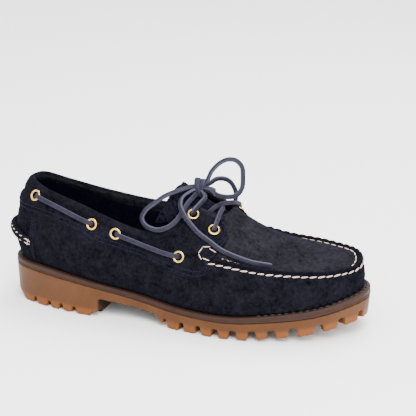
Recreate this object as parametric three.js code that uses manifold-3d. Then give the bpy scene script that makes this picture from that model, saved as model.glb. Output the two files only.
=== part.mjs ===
// A right-foot boat shoe in millimetres, +Z up.
//
// The shoe is drawn in the frame of its last: x runs from the back of the heel to the toe tip,
// y from the outer (lateral) side, which is negative, to the inner (medial) side, and z up from
// the floor. Places round the shoe are given as a turn in degrees: 0 at the back of the heel,
// 90 at the outer waist, 180 at the toe tip and 270 at the inner waist. The last lines move the
// whole shoe so that the middle of its footprint is the origin.
import * as THREE from "three";
import { mergeVertices } from "three/addons/utils/BufferGeometryUtils.js";
import Module from "manifold-3d";

const wasm = await Module();
wasm.setup();

// ---- driving dimensions ----

const shoeLength = 300; // back of the heel to the toe tip, along the sole
const ballWidth = 105; // widest part of the sole, across the ball of the foot
const heelHeight = 102.5; // floor to the top of the collar at the back of the heel
const instepHeight = 88.5; // floor to the top of the vamp where the throat begins
const wall = 2; // suede with its lining
const gap = 0.3; // clearance between pieces that touch
const insoleThickness = 3;
const tongueThickness = 2;
const seamRidge = 2.4; // how far the hand-sewn seam round the toe stands proud

const sole = {
  undercut: 1.4, // how far the side leans in from the top edge to the tread
  breast: 86, // where the heel ends and the arch begins
  archEnd: 138, // where the forefoot tread begins
  archFront: 9, // height of the underside at the front of the arch
  archBack: 15.8, // height of the underside against the heel
  lugDepth: 7.2,
  notchTaper: 1.7, // how much narrower a notch is at its top than at the floor
  rim: 11, // how far the edge lugs reach in from the side
  starArm: 8, // half the span of a cross-shaped lug in the middle of the tread
  starWidth: 5,
};

const eyelet = {
  bore: 2.7,
  barrel: 3.2,
  hole: 3.6,
  flange: 4.5,
  flangeThickness: 0.7,
  lift: 0.6, // from the surface of the upper to the underside of the flange
  depth: 2.2, // how far the barrel reaches in from that surface
};

const lace = {
  diameter: 3.6, // the cut leather lace
  barDiameter: 3.4, // where it is pulled tight along the collar and across the throat
  barLift: 1.7, // from the upper to the underside of a collar lace, which clears the flanges
  sides: 8,
};

// The sewn roll round the back of the heel: half its spread in degrees, and how high it lies.
const heelRoll = { radius: 2.9, spread: 33, middleUp: 1.36, endUp: 1.06 };

// ---- tables, in millimetres for a last of these sizes ----

const lastLength = 300;
const lastBall = 105;
const lastHeel = 102.5;
const lastInstep = 88.5;

// The sole's edge at stations along its length, seen from above.
const soleSections = [
  { x: 0, lateral: 0, medial: 0 },
  { x: 10, lateral: -21.3, medial: 22.9 },
  { x: 40, lateral: -35, medial: 36 },
  { x: 80, lateral: -42.6, medial: 35 },
  { x: 120, lateral: -40.7, medial: 32.3 },
  { x: 160, lateral: -49.5, medial: 37.4 },
  { x: 200, lateral: -54.4, medial: 47.3 },
  { x: 240, lateral: -47.8, medial: 49.8 },
  { x: 270, lateral: -36.2, medial: 42.8 },
  { x: 290, lateral: -18, medial: 30.8 },
  { x: 300, lateral: 5, medial: 5 },
];

// Heights along the sole: the floor side of the tread, the joint between outsole and midsole,
// and the top of the midsole, where the upper stands.
const soleHeights = [
  { x: 0, tread: 0, joint: 30.2, top: 35.4 },
  { x: 40, tread: 0, joint: 28.8, top: 34.2 },
  { x: 80, tread: 0, joint: 25.6, top: 29.9 },
  { x: 120, tread: 0, joint: 18.4, top: 22.9 },
  { x: 160, tread: 0, joint: 14.4, top: 18.9 },
  { x: 200, tread: 0, joint: 14, top: 18.9 },
  { x: 240, tread: 3.2, joint: 17.5, top: 23.1 },
  { x: 270, tread: 7.2, joint: 21.5, top: 27.5 },
  { x: 300, tread: 12.5, joint: 28.2, top: 34.5 },
];

// The wall of the upper: how far each line round it lies inside the sole's edge, and how high.
// foot is the bottom edge, waist the fullest part, seam and edge the two rows of the hand-sewn
// seam, which go on backwards as lines of the quarters. dome is the share of the climb from edge
// to opening that is done halfway across, and ridge how much of the sewn ridge there is.
const wallSections = [
  { turn: 0, foot: 4.4, waist: 0.6, seam: 3, seamUp: 75, edge: 8, edgeUp: 91, dome: 0.58, ridge: 0 },
  { turn: 22, foot: 4.2, waist: 1, seam: 3, seamUp: 75, edge: 7.4, edgeUp: 90, dome: 0.56, ridge: 0 },
  { turn: 42, foot: 3.9, waist: 1.3, seam: 3.6, seamUp: 73.5, edge: 7.5, edgeUp: 86, dome: 0.53, ridge: 0 },
  { turn: 60, foot: 3.8, waist: 1.8, seam: 5.4, seamUp: 66, edge: 8.6, edgeUp: 77, dome: 0.5, ridge: 0 },
  { turn: 76, foot: 3.8, waist: 1.2, seam: 2.6, seamUp: 57, edge: 3.8, edgeUp: 69, dome: 0.5, ridge: 0 },
  { turn: 86, foot: 3.8, waist: 1.6, seam: 3.2, seamUp: 54, edge: 5.4, edgeUp: 65, dome: 0.54, ridge: 0 },
  { turn: 94, foot: 3.8, waist: 2, seam: 5.6, seamUp: 54.5, edge: 9.4, edgeUp: 64, dome: 0.62, ridge: 0 },
  { turn: 101, foot: 3.8, waist: 2.4, seam: 7.8, seamUp: 58, edge: 13, edgeUp: 64, dome: 0.6, ridge: 0.5 },
  { turn: 108, foot: 3.8, waist: 2.6, seam: 7.4, seamUp: 57.6, edge: 13.4, edgeUp: 61.8, dome: 0.54, ridge: 1 },
  { turn: 120, foot: 3.8, waist: 2.6, seam: 6.3, seamUp: 54.6, edge: 12.6, edgeUp: 57, dome: 0.42, ridge: 1 },
  { turn: 138, foot: 4, waist: 2.8, seam: 5.4, seamUp: 52.6, edge: 11.4, edgeUp: 54.8, dome: 0.3, ridge: 1 },
  { turn: 160, foot: 4.8, waist: 3.6, seam: 5.5, seamUp: 51.5, edge: 11.4, edgeUp: 53.8, dome: 0.23, ridge: 1 },
  { turn: 180, foot: 5.4, waist: 4.4, seam: 6.8, seamUp: 53.4, edge: 12.8, edgeUp: 55, dome: 0.22, ridge: 1 },
  { turn: 200, foot: 5.2, waist: 4.2, seam: 7, seamUp: 55.2, edge: 13, edgeUp: 56.8, dome: 0.23, ridge: 1 },
  { turn: 222, foot: 4.4, waist: 3.2, seam: 7, seamUp: 55.4, edge: 13, edgeUp: 57.3, dome: 0.3, ridge: 1 },
  { turn: 240, foot: 3.8, waist: 2.8, seam: 7, seamUp: 57, edge: 13, edgeUp: 59, dome: 0.44, ridge: 1 },
  { turn: 252, foot: 3.8, waist: 2.2, seam: 7, seamUp: 61, edge: 12.6, edgeUp: 66, dome: 0.56, ridge: 1 },
  { turn: 260, foot: 3.8, waist: 1.6, seam: 5, seamUp: 61, edge: 8.6, edgeUp: 70, dome: 0.66, ridge: 0.4 },
  { turn: 270, foot: 3.8, waist: 1, seam: 2.2, seamUp: 58, edge: 4, edgeUp: 70, dome: 0.64, ridge: 0 },
  { turn: 284, foot: 3.8, waist: 0.6, seam: 1.2, seamUp: 58, edge: 1.8, edgeUp: 70, dome: 0.5, ridge: 0 },
  { turn: 300, foot: 3.8, waist: 1, seam: 2.2, seamUp: 66, edge: 3.6, edgeUp: 76, dome: 0.5, ridge: 0 },
  { turn: 318, foot: 3.9, waist: 1.3, seam: 3.6, seamUp: 73.5, edge: 7, edgeUp: 85, dome: 0.53, ridge: 0 },
  { turn: 338, foot: 4.2, waist: 1, seam: 3, seamUp: 75, edge: 7.4, edgeUp: 90, dome: 0.56, ridge: 0 },
];

// The edge of the opening: the collar from the heel forwards, up the facing to its top corner,
// along the throat and across the back edge of the vamp.
const openingEdge = [
  { turn: 0, x: 16, y: 1, z: 102.5 },
  { turn: 22, x: 20, y: -10, z: 101.6 },
  { turn: 42, x: 37, y: -21, z: 97 },
  { turn: 60, x: 72, y: -29.5, z: 89 },
  { turn: 76, x: 110, y: -35.5, z: 78.4 },
  { turn: 84, x: 130, y: -36, z: 75.4 },
  { turn: 90, x: 144, y: -33, z: 80 },
  { turn: 94, x: 152, y: -27, z: 87 },
  { turn: 97, x: 156.5, y: -20, z: 93.5 },
  { turn: 101, x: 163, y: -16, z: 94.4 },
  { turn: 107, x: 174, y: -14.5, z: 90.8 },
  { turn: 114, x: 182, y: -12.5, z: 88.2 },
  { turn: 130, x: 185, y: -7.5, z: 88 },
  { turn: 180, x: 186, y: 1, z: 88.5 },
  { turn: 230, x: 185, y: 9.5, z: 88.2 },
  { turn: 246, x: 182, y: 14.5, z: 88.6 },
  { turn: 253, x: 174, y: 16.5, z: 91.6 },
  { turn: 259, x: 163, y: 18, z: 95.2 },
  { turn: 263, x: 156.5, y: 21.5, z: 94 },
  { turn: 267, x: 150, y: 26, z: 87 },
  { turn: 272, x: 140, y: 29, z: 80.6 },
  { turn: 284, x: 112, y: 31.5, z: 79.6 },
  { turn: 300, x: 74, y: 31, z: 84.4 },
  { turn: 318, x: 37, y: 26, z: 92.8 },
  { turn: 338, x: 21, y: 13.5, z: 101 },
];

// The notches between the edge lugs: where they are along the sole, how wide at the floor,
// and how deep where that is not the depth of the lugs. The one at 83.4 is the step cut in
// the front corner of the heel.
const notches = [
  { x: 25, wide: 5, deep: 5.5 },
  { x: 39.5, wide: 5, deep: 5.5 },
  { x: 51.5, wide: 5, deep: 5.5 },
  { x: 64, wide: 5, deep: 5.5 },
  { x: 83.4, wide: 7.6, deep: 3.9 },
  { x: 145, wide: 5 },
  { x: 160, wide: 5.4 },
  { x: 175, wide: 6 },
  { x: 189.5, wide: 6.6 },
  { x: 204.5, wide: 7.2 },
  { x: 220, wide: 7.4 },
  { x: 235, wide: 7.6 },
  { x: 251.5, wide: 8.2 },
  { x: 270.5, wide: 8.2 },
  { x: 285.5, wide: 7.4 },
  { x: 297.3, wide: 6.4 },
];
const starLugs = [164, 186, 208, 230, 252];

// The tongue from its root, under the vamp, to its free end. crest is the height of its middle
// and drop how far its sides hang below it.
const tongueSections = [
  { x: 194, half: 17, crest: 81, drop: 7.4 },
  { x: 184, half: 19, crest: 85.6, drop: 11.5 },
  { x: 172, half: 20, crest: 91, drop: 15 },
  { x: 158, half: 21, crest: 97.4, drop: 17 },
  { x: 145, half: 21, crest: 109, drop: 28 },
];

// Eyelets: turn and height on the upper, from the heel forwards and then up the throat.
const eyelets = [
  { name: "collar_1", lateral: 32.5, lateralUp: 3.4, medial: 327, medialUp: 3.4 },
  { name: "collar_2", lateral: 62.5, lateralUp: 3.15, medial: 298, medialUp: 3.15 },
  { name: "collar_3", lateral: 71.5, lateralUp: 3.1, medial: 289, medialUp: 3.1 },
  { name: "collar_4", lateral: 92, lateralUp: 2.6, medial: 267, medialUp: 2.7 },
  { name: "throat_1", lateral: 105.5, lateralUp: 4.05, medial: 250, medialUp: 4.4 },
  { name: "throat_2", lateral: 98.5, lateralUp: 4.55, medial: 261.5, medialUp: 4.55 },
];

// ---- reading the tables ----

const turnsAt = (x) => THREE.MathUtils.radToDeg(Math.acos(1 - (2 * x) / lastLength));
const lengthScale = shoeLength / lastLength;
const widthScale = ballWidth / lastBall;

// Heights on the upper follow the heel at the back and the instep from the throat forwards.
function heightScale(x) {
  const share = THREE.MathUtils.clamp(x / (0.62 * shoeLength), 0, 1);
  return THREE.MathUtils.lerp(heelHeight / lastHeel, instepHeight / lastInstep, share);
}

// A smooth curve through the rows of a table, read at a place of its key column. A period closes it.
function read(rows, key, column, place, period = 0) {
  const count = rows.length;
  const at = (i) => {
    if (!period) return rows[THREE.MathUtils.clamp(i, 0, count - 1)];
    return rows[((i % count) + count) % count];
  };
  const keyOf = (i) => at(i)[key] + (period ? period * Math.floor(i / count) : 0);
  const where = period ? ((place % period) + period) % period : place;
  let i = 0;
  const last = period ? count - 1 : count - 2;
  while (i < last && where > keyOf(i + 1)) i += 1;
  const slope = (j) => {
    const before = period || j > 0 ? j - 1 : j;
    const after = period || j < count - 1 ? j + 1 : j;
    return (at(after)[column] - at(before)[column]) / (keyOf(after) - keyOf(before));
  };
  const span = keyOf(i + 1) - keyOf(i);
  const t = THREE.MathUtils.clamp((where - keyOf(i)) / span, 0, 1);
  const a = at(i)[column];
  const b = at(i + 1)[column];
  const rise = slope(i) * span;
  const fall = slope(i + 1) * span;
  const t2 = t * t;
  const t3 = t2 * t;
  return a * (2 * t3 - 3 * t2 + 1) + rise * (t3 - 2 * t2 + t) + b * (3 * t2 - 2 * t3) + fall * (t3 - t2);
}

const outlineRows = [
  ...soleSections.map((row) => ({ turn: turnsAt(row.x), y: row.lateral })),
  ...soleSections
    .slice(1, -1)
    .reverse()
    .map((row) => ({ turn: 360 - turnsAt(row.x), y: row.medial })),
];

// A point of the sole's edge, seen from above.
function edgePoint(turn) {
  const x = (shoeLength / 2) * (1 - Math.cos(THREE.MathUtils.degToRad(turn)));
  const y = widthScale * read(outlineRows, "turn", "y", turn, 360);
  return new THREE.Vector2(x, y);
}

// The same, moved in from the edge.
function insetPoint(turn, inset) {
  const step = 1.5;
  const along = edgePoint(turn + step).sub(edgePoint(turn - step)).normalize();
  return edgePoint(turn).add(new THREE.Vector2(-along.y, along.x).multiplyScalar(inset));
}

const heightAt = (x, column) => Math.max(0, read(soleHeights, "x", column, x / lengthScale));

// ---- closed meshes ----

// A mesh from rings of points, each ring with the same even number of points, closed round. The
// rings are joined in order; a closed loop of rings joins the last to the first, and otherwise
// the first and last ring are filled across, from each point to the one facing it.
function ringGeometry(rings, looped) {
  const sides = rings[0].length;
  const positions = rings.flat().flatMap((point) => [point.x, point.y, point.z]);
  const index = [];
  const steps = looped ? rings.length : rings.length - 1;
  for (let i = 0; i < steps; i += 1) {
    const here = i * sides;
    const next = ((i + 1) % rings.length) * sides;
    for (let j = 0; j < sides; j += 1) {
      const k = (j + 1) % sides;
      index.push(here + j, here + k, next + j);
      index.push(here + k, next + k, next + j);
    }
  }
  if (!looped) {
    const far = (rings.length - 1) * sides;
    for (let j = 0; j < sides / 2 - 1; j += 1) {
      const facing = sides - 1 - j;
      index.push(j, facing - 1, j + 1);
      index.push(j, facing, facing - 1);
      index.push(far + j, far + j + 1, far + facing - 1);
      index.push(far + j, far + facing - 1, far + facing);
    }
  }
  const geometry = new THREE.BufferGeometry();
  geometry.setAttribute("position", new THREE.Float32BufferAttribute(positions, 3));
  geometry.setIndex(index);
  return geometry;
}

function solidOf(geometry) {
  const bare = geometry.clone();
  bare.deleteAttribute("normal");
  bare.deleteAttribute("uv");
  const merged = mergeVertices(bare, 1e-4);
  const vertProperties = new Float32Array(merged.attributes.position.array);
  const triVerts = new Uint32Array(merged.index.array);
  return new wasm.Manifold(new wasm.Mesh({ numProp: 3, vertProperties, triVerts }));
}

function geometryOf(solid) {
  const mesh = solid.getMesh();
  const geometry = new THREE.BufferGeometry();
  geometry.setAttribute("position", new THREE.Float32BufferAttribute(mesh.vertProperties, 3));
  geometry.setIndex(Array.from(mesh.triVerts));
  return geometry;
}

// ---- the upper's own surface ----

const wallLines = [
  { inset: "foot", up: null },
  { inset: "waist", up: null },
  { inset: "seam", up: "seamUp" },
  { inset: "edge", up: "edgeUp" },
];

// The six points that the upper passes through at a turn, from its foot to the opening.
function meridian(turn) {
  const column = (name) => read(wallSections, "turn", name, turn, 360);
  const [foot, waist, seam, edge] = wallLines.map((line) => {
    const point = insetPoint(turn, column(line.inset));
    const height = line.up ? column(line.up) * heightScale(point.x) : 0;
    return new THREE.Vector3(point.x, point.y, height);
  });
  foot.z = heightAt(edgePoint(turn).x, "top") + 1.5 * gap;
  waist.z = THREE.MathUtils.lerp(foot.z, seam.z, 0.42);
  const rim = new THREE.Vector3(
    lengthScale * read(openingEdge, "turn", "x", turn, 360),
    widthScale * read(openingEdge, "turn", "y", turn, 360),
    read(openingEdge, "turn", "z", turn, 360),
  );
  rim.z *= heightScale(rim.x);
  const crown = edge.clone().lerp(rim, 0.5);
  crown.z = THREE.MathUtils.lerp(edge.z, rim.z, column("dome"));
  return [foot, waist, seam, edge, crown, rim];
}

// A point of the upper's outer face: the turn round the shoe, and up from 0 at the foot, through
// 2 and 3 at the two rows of the sewn seam, to 5 at the opening.
function upperPoint(turn, up, ridged = true) {
  const points = meridian(turn);
  const i = Math.min(Math.floor(up), points.length - 2);
  const t = up - i;
  const chord = (a, b) => Math.max(Math.sqrt(a.distanceTo(b)), 1e-3);
  const slope = (j) => {
    const before = points[Math.max(j - 1, 0)];
    const after = points[Math.min(j + 1, points.length - 1)];
    const span = (before === points[j] ? 0 : chord(before, points[j]))
      + (after === points[j] ? 0 : chord(points[j], after));
    return after.clone().sub(before).divideScalar(span);
  };
  const span = chord(points[i], points[i + 1]);
  const t2 = t * t;
  const t3 = t2 * t;
  const place = points[i].clone().multiplyScalar(2 * t3 - 3 * t2 + 1)
    .addScaledVector(slope(i), span * (t3 - 2 * t2 + t))
    .addScaledVector(points[i + 1], 3 * t2 - 2 * t3)
    .addScaledVector(slope(i + 1), span * (t3 - t2));
  if (ridged && up > 2 && up < 3) {
    const much = THREE.MathUtils.clamp(read(wallSections, "turn", "ridge", turn, 360), 0, 1);
    place.addScaledVector(upperNormal(turn, up), seamRidge * much * Math.sin(Math.PI * t) ** 0.7);
  }
  return place;
}

function upperNormal(turn, up) {
  const side = 1.2;
  const rise = 0.06;
  const round = upperPoint(turn + side, up, false).sub(upperPoint(turn - side, up, false));
  const climb = upperPoint(turn, Math.min(up + rise, 5), false)
    .sub(upperPoint(turn, Math.max(up - rise, 0), false));
  return round.cross(climb).normalize();
}

// The inner face, one wall thickness in, without the ridge of the seam.
function liningPoint(turn, up) {
  const inner = upperPoint(turn, up, false).addScaledVector(upperNormal(turn, up), -wall);
  if (up === 0) inner.z = upperPoint(turn, 0, false).z;
  return inner;
}

// ---- the sub-parts' shapes ----

const turnsRound = 72;
const outerLevels = [0, 0.35, 0.8, 1.3, 1.7, 2, 2.3, 2.7, 3, 3.4, 3.8, 4.2, 4.6, 5];
const innerLevels = [5, 4.5, 4, 3.5, 3, 2.5, 2, 1.4, 0.7, 0];

function upperGeometry() {
  const rings = [];
  for (let i = 0; i < turnsRound; i += 1) {
    const turn = (360 * i) / turnsRound;
    const ring = [
      ...outerLevels.map((up) => upperPoint(turn, up)),
      ...innerLevels.map((up) => liningPoint(turn, up)),
    ];
    rings.push(ring.reverse());
  }
  let solid = solidOf(ringGeometry(rings, true));
  for (const place of eyeletPlaces()) {
    const hole = new THREE.CylinderGeometry(eyelet.hole, eyelet.hole, 10, 12);
    solid = solid.subtract(solidOf(turnedTo(hole, place)));
  }
  return geometryOf(solid);
}

// The places of all twelve eyelets, with the outward direction of the upper there.
function eyeletPlaces() {
  return ["lateral", "medial"].flatMap((side) => eyelets.map((row) => {
    const turn = row[side];
    const up = row[`${side}Up`];
    const point = upperPoint(turn, up, false);
    return { name: `${row.name}_${side}`, turn, up, point, normal: upperNormal(turn, up) };
  }));
}

// Stands a shape that is drawn round the Y axis at a place of the upper, Y pointing out.
function turnedTo(geometry, place) {
  const turned = new THREE.Quaternion().setFromUnitVectors(new THREE.Vector3(0, 1, 0), place.normal);
  return geometry.applyQuaternion(turned).translate(place.point.x, place.point.y, place.point.z);
}

function eyeletGeometry(place) {
  const under = eyelet.lift;
  const over = eyelet.lift + eyelet.flangeThickness;
  const profile = [
    new THREE.Vector2(eyelet.bore, -eyelet.depth),
    new THREE.Vector2(eyelet.barrel, -eyelet.depth),
    new THREE.Vector2(eyelet.barrel, under),
    new THREE.Vector2(eyelet.flange, under),
    new THREE.Vector2(eyelet.flange - 0.3, over),
    new THREE.Vector2(eyelet.bore, over),
    new THREE.Vector2(eyelet.bore, -eyelet.depth),
  ];
  return turnedTo(new THREE.LatheGeometry(profile, 10), place);
}

// Slices across the sole between two turns, each with an outer and inner side and two heights.
function slabGeometry(insetOf, lowOf, highOf, undercut = 0, from = 4, to = 176) {
  const rings = [];
  const steps = Math.round((to - from) / 4);
  for (let i = 0; i <= steps; i += 1) {
    const turn = THREE.MathUtils.lerp(from, to, i / steps);
    const x = edgePoint(turn).x;
    const corner = (way, inset, z) => {
      const point = insetPoint(way, inset);
      return new THREE.Vector3(point.x, point.y, z);
    };
    const low = lowOf(x);
    const high = highOf(x);
    rings.push([
      corner(turn, insetOf(turn) + undercut, low),
      corner(360 - turn, insetOf(360 - turn) + undercut, low),
      corner(360 - turn, insetOf(360 - turn), high),
      corner(turn, insetOf(turn), high),
    ]);
  }
  return ringGeometry(rings, false);
}

// A notch between two edge lugs, wider at the floor, reaching in from the side.
function notch({ x, wide, deep = sole.lugDepth }, side) {
  const turn = side < 0 ? turnsAt(x) : 360 - turnsAt(x);
  const edge = insetPoint(turn, -3);
  const inner = insetPoint(turn, sole.rim + 2);
  const low = heightAt(x, "tread") - 6;
  const top = heightAt(x, "tread") + deep;
  const run = edge.distanceTo(inner);
  const narrow = wide - sole.notchTaper;
  const shape = new THREE.Shape([
    new THREE.Vector2(-wide * 0.8, low),
    new THREE.Vector2(wide * 0.8, low),
    new THREE.Vector2(wide / 2, top - deep),
    new THREE.Vector2(narrow / 2, top),
    new THREE.Vector2(-narrow / 2, top),
    new THREE.Vector2(-wide / 2, top - deep),
  ]);
  const bar = new THREE.ExtrudeGeometry(shape, { depth: run, bevelEnabled: false });
  bar.rotateX(Math.PI / 2);
  bar.rotateZ(Math.atan2(inner.y - edge.y, inner.x - edge.x) + Math.PI / 2);
  bar.translate(edge.x, edge.y, 0);
  return solidOf(bar);
}

// The hollow in the middle of the forefoot tread, with its cross-shaped lugs left standing.
function treadHollow() {
  const ceiling = (x) => heightAt(x, "tread") + sole.lugDepth - 1;
  const rim = () => sole.rim;
  let hollow = solidOf(slabGeometry(rim, () => -5, ceiling, 0, 97, 156));
  for (const x of starLugs) {
    const middle = (edgePoint(turnsAt(x)).y + edgePoint(360 - turnsAt(x)).y) / 2;
    const arm = sole.starArm;
    for (const [long, wide] of [[arm, sole.starWidth / 2], [sole.starWidth / 2, arm]]) {
      const bar = new THREE.BoxGeometry(2 * long, 2 * wide, 60);
      hollow = hollow.subtract(solidOf(bar.translate(x, middle, 0)));
    }
  }
  return hollow;
}

function outsoleGeometry() {
  const tread = (x) => heightAt(x, "tread");
  const joint = (x) => heightAt(x, "joint");
  let solid = solidOf(slabGeometry(() => 0, tread, joint, sole.undercut));
  const arch = new THREE.Shape([
    new THREE.Vector2(sole.breast - 0.8, -8),
    new THREE.Vector2(sole.breast + 0.8, sole.archBack),
    new THREE.Vector2(sole.archEnd - 1, sole.archFront),
    new THREE.Vector2(sole.archEnd + 1.5, 4.4),
    new THREE.Vector2(sole.archEnd + 12, -0.6),
    new THREE.Vector2(sole.archEnd + 12, -8),
  ]);
  const archCut = new THREE.ExtrudeGeometry(arch, { depth: 2 * ballWidth, bevelEnabled: false });
  archCut.rotateX(Math.PI / 2).translate(0, ballWidth, 0);
  solid = solid.subtract(solidOf(archCut));
  for (const cut of notches) {
    solid = solid.subtract(notch(cut, -1)).subtract(notch(cut, 1));
  }
  solid = solid.subtract(treadHollow());
  return geometryOf(solid);
}

const midsoleGeometry = () => slabGeometry(
  () => 0,
  (x) => heightAt(x, "joint") + gap,
  (x) => heightAt(x, "top"),
);

function insoleGeometry() {
  const inset = (turn) => read(wallSections, "turn", "foot", turn, 360) + wall + 2 * gap;
  const low = (x) => heightAt(x, "top") + 1.5 * gap;
  return slabGeometry(inset, low, (x) => low(x) + insoleThickness);
}

const tongueRows = tongueSections.map((row) => ({ ...row, back: -row.x }));

function tongueGeometry() {
  const rings = [];
  const steps = 12;
  const across = 10;
  const root = tongueSections[0].x;
  const end = tongueSections.at(-1).x;
  for (let i = 0; i <= steps; i += 1) {
    const x = THREE.MathUtils.lerp(root, end, i / steps);
    const fall = 2.2 + 0.8 * (i / steps) ** 2;
    const row = (name) => read(tongueRows, "back", name, -x);
    const face = (sink) => Array.from({ length: across + 1 }, (_, j) => {
      const side = -1 + (2 * j) / across;
      const lean = -16 * side * side * (i / steps) ** 2;
      return new THREE.Vector3(
        x + lean - sink * 0.35,
        side * (row("half") - sink * 0.2) + 1,
        row("crest") - row("drop") * Math.abs(side) ** fall - sink * 0.94,
      );
    });
    rings.push([...face(0), ...face(tongueThickness).reverse()]);
  }
  return ringGeometry(rings, false);
}

// ---- cords ----

function cordGeometry(points, diameter, steps) {
  const section = new THREE.Shape();
  for (let i = 0; i < lace.sides; i += 1) {
    const angle = (2 * Math.PI * (i + 0.5)) / lace.sides;
    const x = (diameter / 2) * Math.cos(angle);
    const y = (diameter / 2) * Math.sin(angle);
    if (i) section.lineTo(x, y);
    else section.moveTo(x, y);
  }
  section.closePath();
  const path = new THREE.CatmullRomCurve3(points, false, "centripetal");
  return new THREE.ExtrudeGeometry(section, { steps, bevelEnabled: false, extrudePath: path });
}

const vectors = (rows) => rows.map(([x, y, z]) => new THREE.Vector3(x, y, z));

// The middle of a lace where it lies just clear of an eyelet's flange.
function over(place, extra = 0) {
  const lift = lace.barDiameter / 2 + lace.barLift + extra;
  return place.point.clone().addScaledVector(place.normal, lift);
}

// A collar lace from one eyelet to the next, along the band.
function collarBar(from, to) {
  const points = [];
  const steps = 6;
  for (let i = 0; i <= steps; i += 1) {
    const turn = THREE.MathUtils.lerp(from.turn, to.turn, i / steps);
    const up = THREE.MathUtils.lerp(from.up, to.up, i / steps);
    points.push(over({ point: upperPoint(turn, up, false), normal: upperNormal(turn, up) }));
  }
  return cordGeometry(points, lace.barDiameter, 8);
}

// The roll round the heel, on the outer face of the upper.
function heelRollGeometry() {
  const points = [];
  const steps = 10;
  for (let i = 0; i <= steps; i += 1) {
    const share = -1 + (2 * i) / steps;
    const turn = (360 + share * heelRoll.spread) % 360;
    const up = THREE.MathUtils.lerp(heelRoll.middleUp, heelRoll.endUp, share * share);
    const lift = heelRoll.radius + gap;
    points.push(upperPoint(turn, up, false).addScaledVector(upperNormal(turn, up), lift));
  }
  return cordGeometry(points, 2 * heelRoll.radius, 14);
}

// The two laces that cross over the tongue: each comes out of a lower eyelet and goes under the
// opposite facing. The one from the medial side lies on the other, and they touch.
function crossingGeometry(lateral, medial) {
  const low = [over(lateral, 0.7), ...vectors(throat.low)];
  const high = [over(medial, 0.7), ...vectors(throat.high)];
  const under = solidOf(cordGeometry(low, lace.barDiameter, 10));
  const above = solidOf(cordGeometry(high, lace.barDiameter, 10));
  return geometryOf(under.add(above));
}

// Where the two crossing laces run from their eyelets over the tongue.
const throat = {
  low: [[182, -13.5, 91], [180.5, -3, 91], [176, 8, 90.4], [171.5, 16, 86.5], [169.5, 19.5, 84.2]],
  high: [[185.4, 11, 91.8], [180.6, 2, 93.4], [175.5, -5, 92.3], [170, -14.5, 87.1], [168, -18, 84.9]],
};

// The bow, in points chosen along each lace: two loops, two free ends, the two rises from the
// upper eyelets to the knot, and the knot itself.
const bow = {
  knot: { x: 161.5, y: -3, z: 106.5, radius: 4.3, halfHeight: 6.6 },
  lateralLoop: [
    [155.6, -4.4, 107], [147.5, -12, 105.5], [137.6, -20, 101.9], [131.3, -26, 97.3],
    [125.5, -31, 92.4], [122.8, -33, 86], [125.7, -34.4, 81.2], [131.9, -36, 79],
    [139.7, -38, 79.6], [147.6, -36, 83], [152.4, -31.5, 88], [154.8, -26, 93],
    [156.6, -17, 98], [158.4, -10.4, 100.4],
  ],
  medialLoop: [
    [166.5, -1, 112], [169.6, 2, 119.4], [175, 6, 125.4], [181, 8, 128.3], [187.7, 8, 128.1],
    [193.4, 6, 123.8], [195.5, 2, 116.9], [196.3, -3, 109.3], [193.1, -6, 104.1],
    [186.3, -8, 102.4], [178, -8, 103], [170.6, -5.4, 105.4],
  ],
  lateralEnd: [
    [154.6, -10, 103.6], [151.6, -19, 101.4], [154, -29.5, 97.6], [158.9, -34, 92],
    [163.7, -33.4, 85.4], [170.6, -35, 79.6], [179.3, -36.6, 74.8], [190.2, -39.2, 69.2],
    [201.7, -40.4, 65.6], [215.4, -40.3, 62.2], [223.6, -38.8, 60.9], [231.6, -36.8, 59.7],
  ],
  medialEnd: [
    [167.6, 4.5, 108.5], [171.5, 7.5, 111.2], [177.1, 11, 111], [180.9, 15, 107.5],
    [182.5, 20, 101.5], [182.4, 25, 96], [181, 29.5, 90.5], [179.5, 33.2, 84.5],
    [178.5, 36.4, 78],
  ],
  lateralRise: [[165, -15, 97.6], [165.6, -9.4, 100.4]],
  medialRise: [[163, 17.5, 99.4], [162.8, 7.4, 101]],
};

function knotGeometry() {
  const { x, y, z, radius, halfHeight } = bow.knot;
  const ball = new THREE.SphereGeometry(radius, 12, 8).rotateX(Math.PI / 2);
  return ball.scale(1, 1, halfHeight / radius).translate(x, y, z);
}

// ---- the shoe ----

const colours = {
  suede: { color: 0x1d1e2b, roughness: 0.95, metalness: 0 },
  lining: { color: 0x24252f, roughness: 0.9, metalness: 0 },
  gum: { color: 0xb57f52, roughness: 0.6, metalness: 0 },
  midsole: { color: 0x8d6c58, roughness: 0.75, metalness: 0 },
  brass: { color: 0xd8c28a, roughness: 0.3, metalness: 1 },
  lace: { color: 0x3a3846, roughness: 0.6, metalness: 0 },
};

const shoe = new THREE.Group();

function add(name, geometry, look) {
  const flat = geometry.index ? geometry.toNonIndexed() : geometry;
  flat.computeVertexNormals();
  const mesh = new THREE.Mesh(flat, new THREE.MeshStandardMaterial(colours[look]));
  mesh.name = name;
  shoe.add(mesh);
}

add("outsole", outsoleGeometry(), "gum");
add("midsole", midsoleGeometry(), "midsole");
add("insole", insoleGeometry(), "lining");
add("upper", upperGeometry(), "suede");
add("tongue", tongueGeometry(), "suede");
add("heel_roll", heelRollGeometry(), "suede");

const places = eyeletPlaces();
const placeOf = (name) => places.find((place) => place.name === name);
for (const place of places) {
  add(`eyelet_${place.name}`, eyeletGeometry(place), "brass");
}

for (const side of ["lateral", "medial"]) {
  const [first, second, third, fourth] = [1, 2, 3, 4].map((i) => placeOf(`collar_${i}_${side}`));
  add(`lace_rear_${side}`, collarBar(first, second), "lace");
  add(`lace_front_${side}`, collarBar(third, fourth), "lace");
}
const crossing = crossingGeometry(placeOf("throat_1_lateral"), placeOf("throat_1_medial"));
add("lace_crossing", crossing, "lace");

const footprint = new THREE.Box3().setFromObject(shoe);

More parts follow.
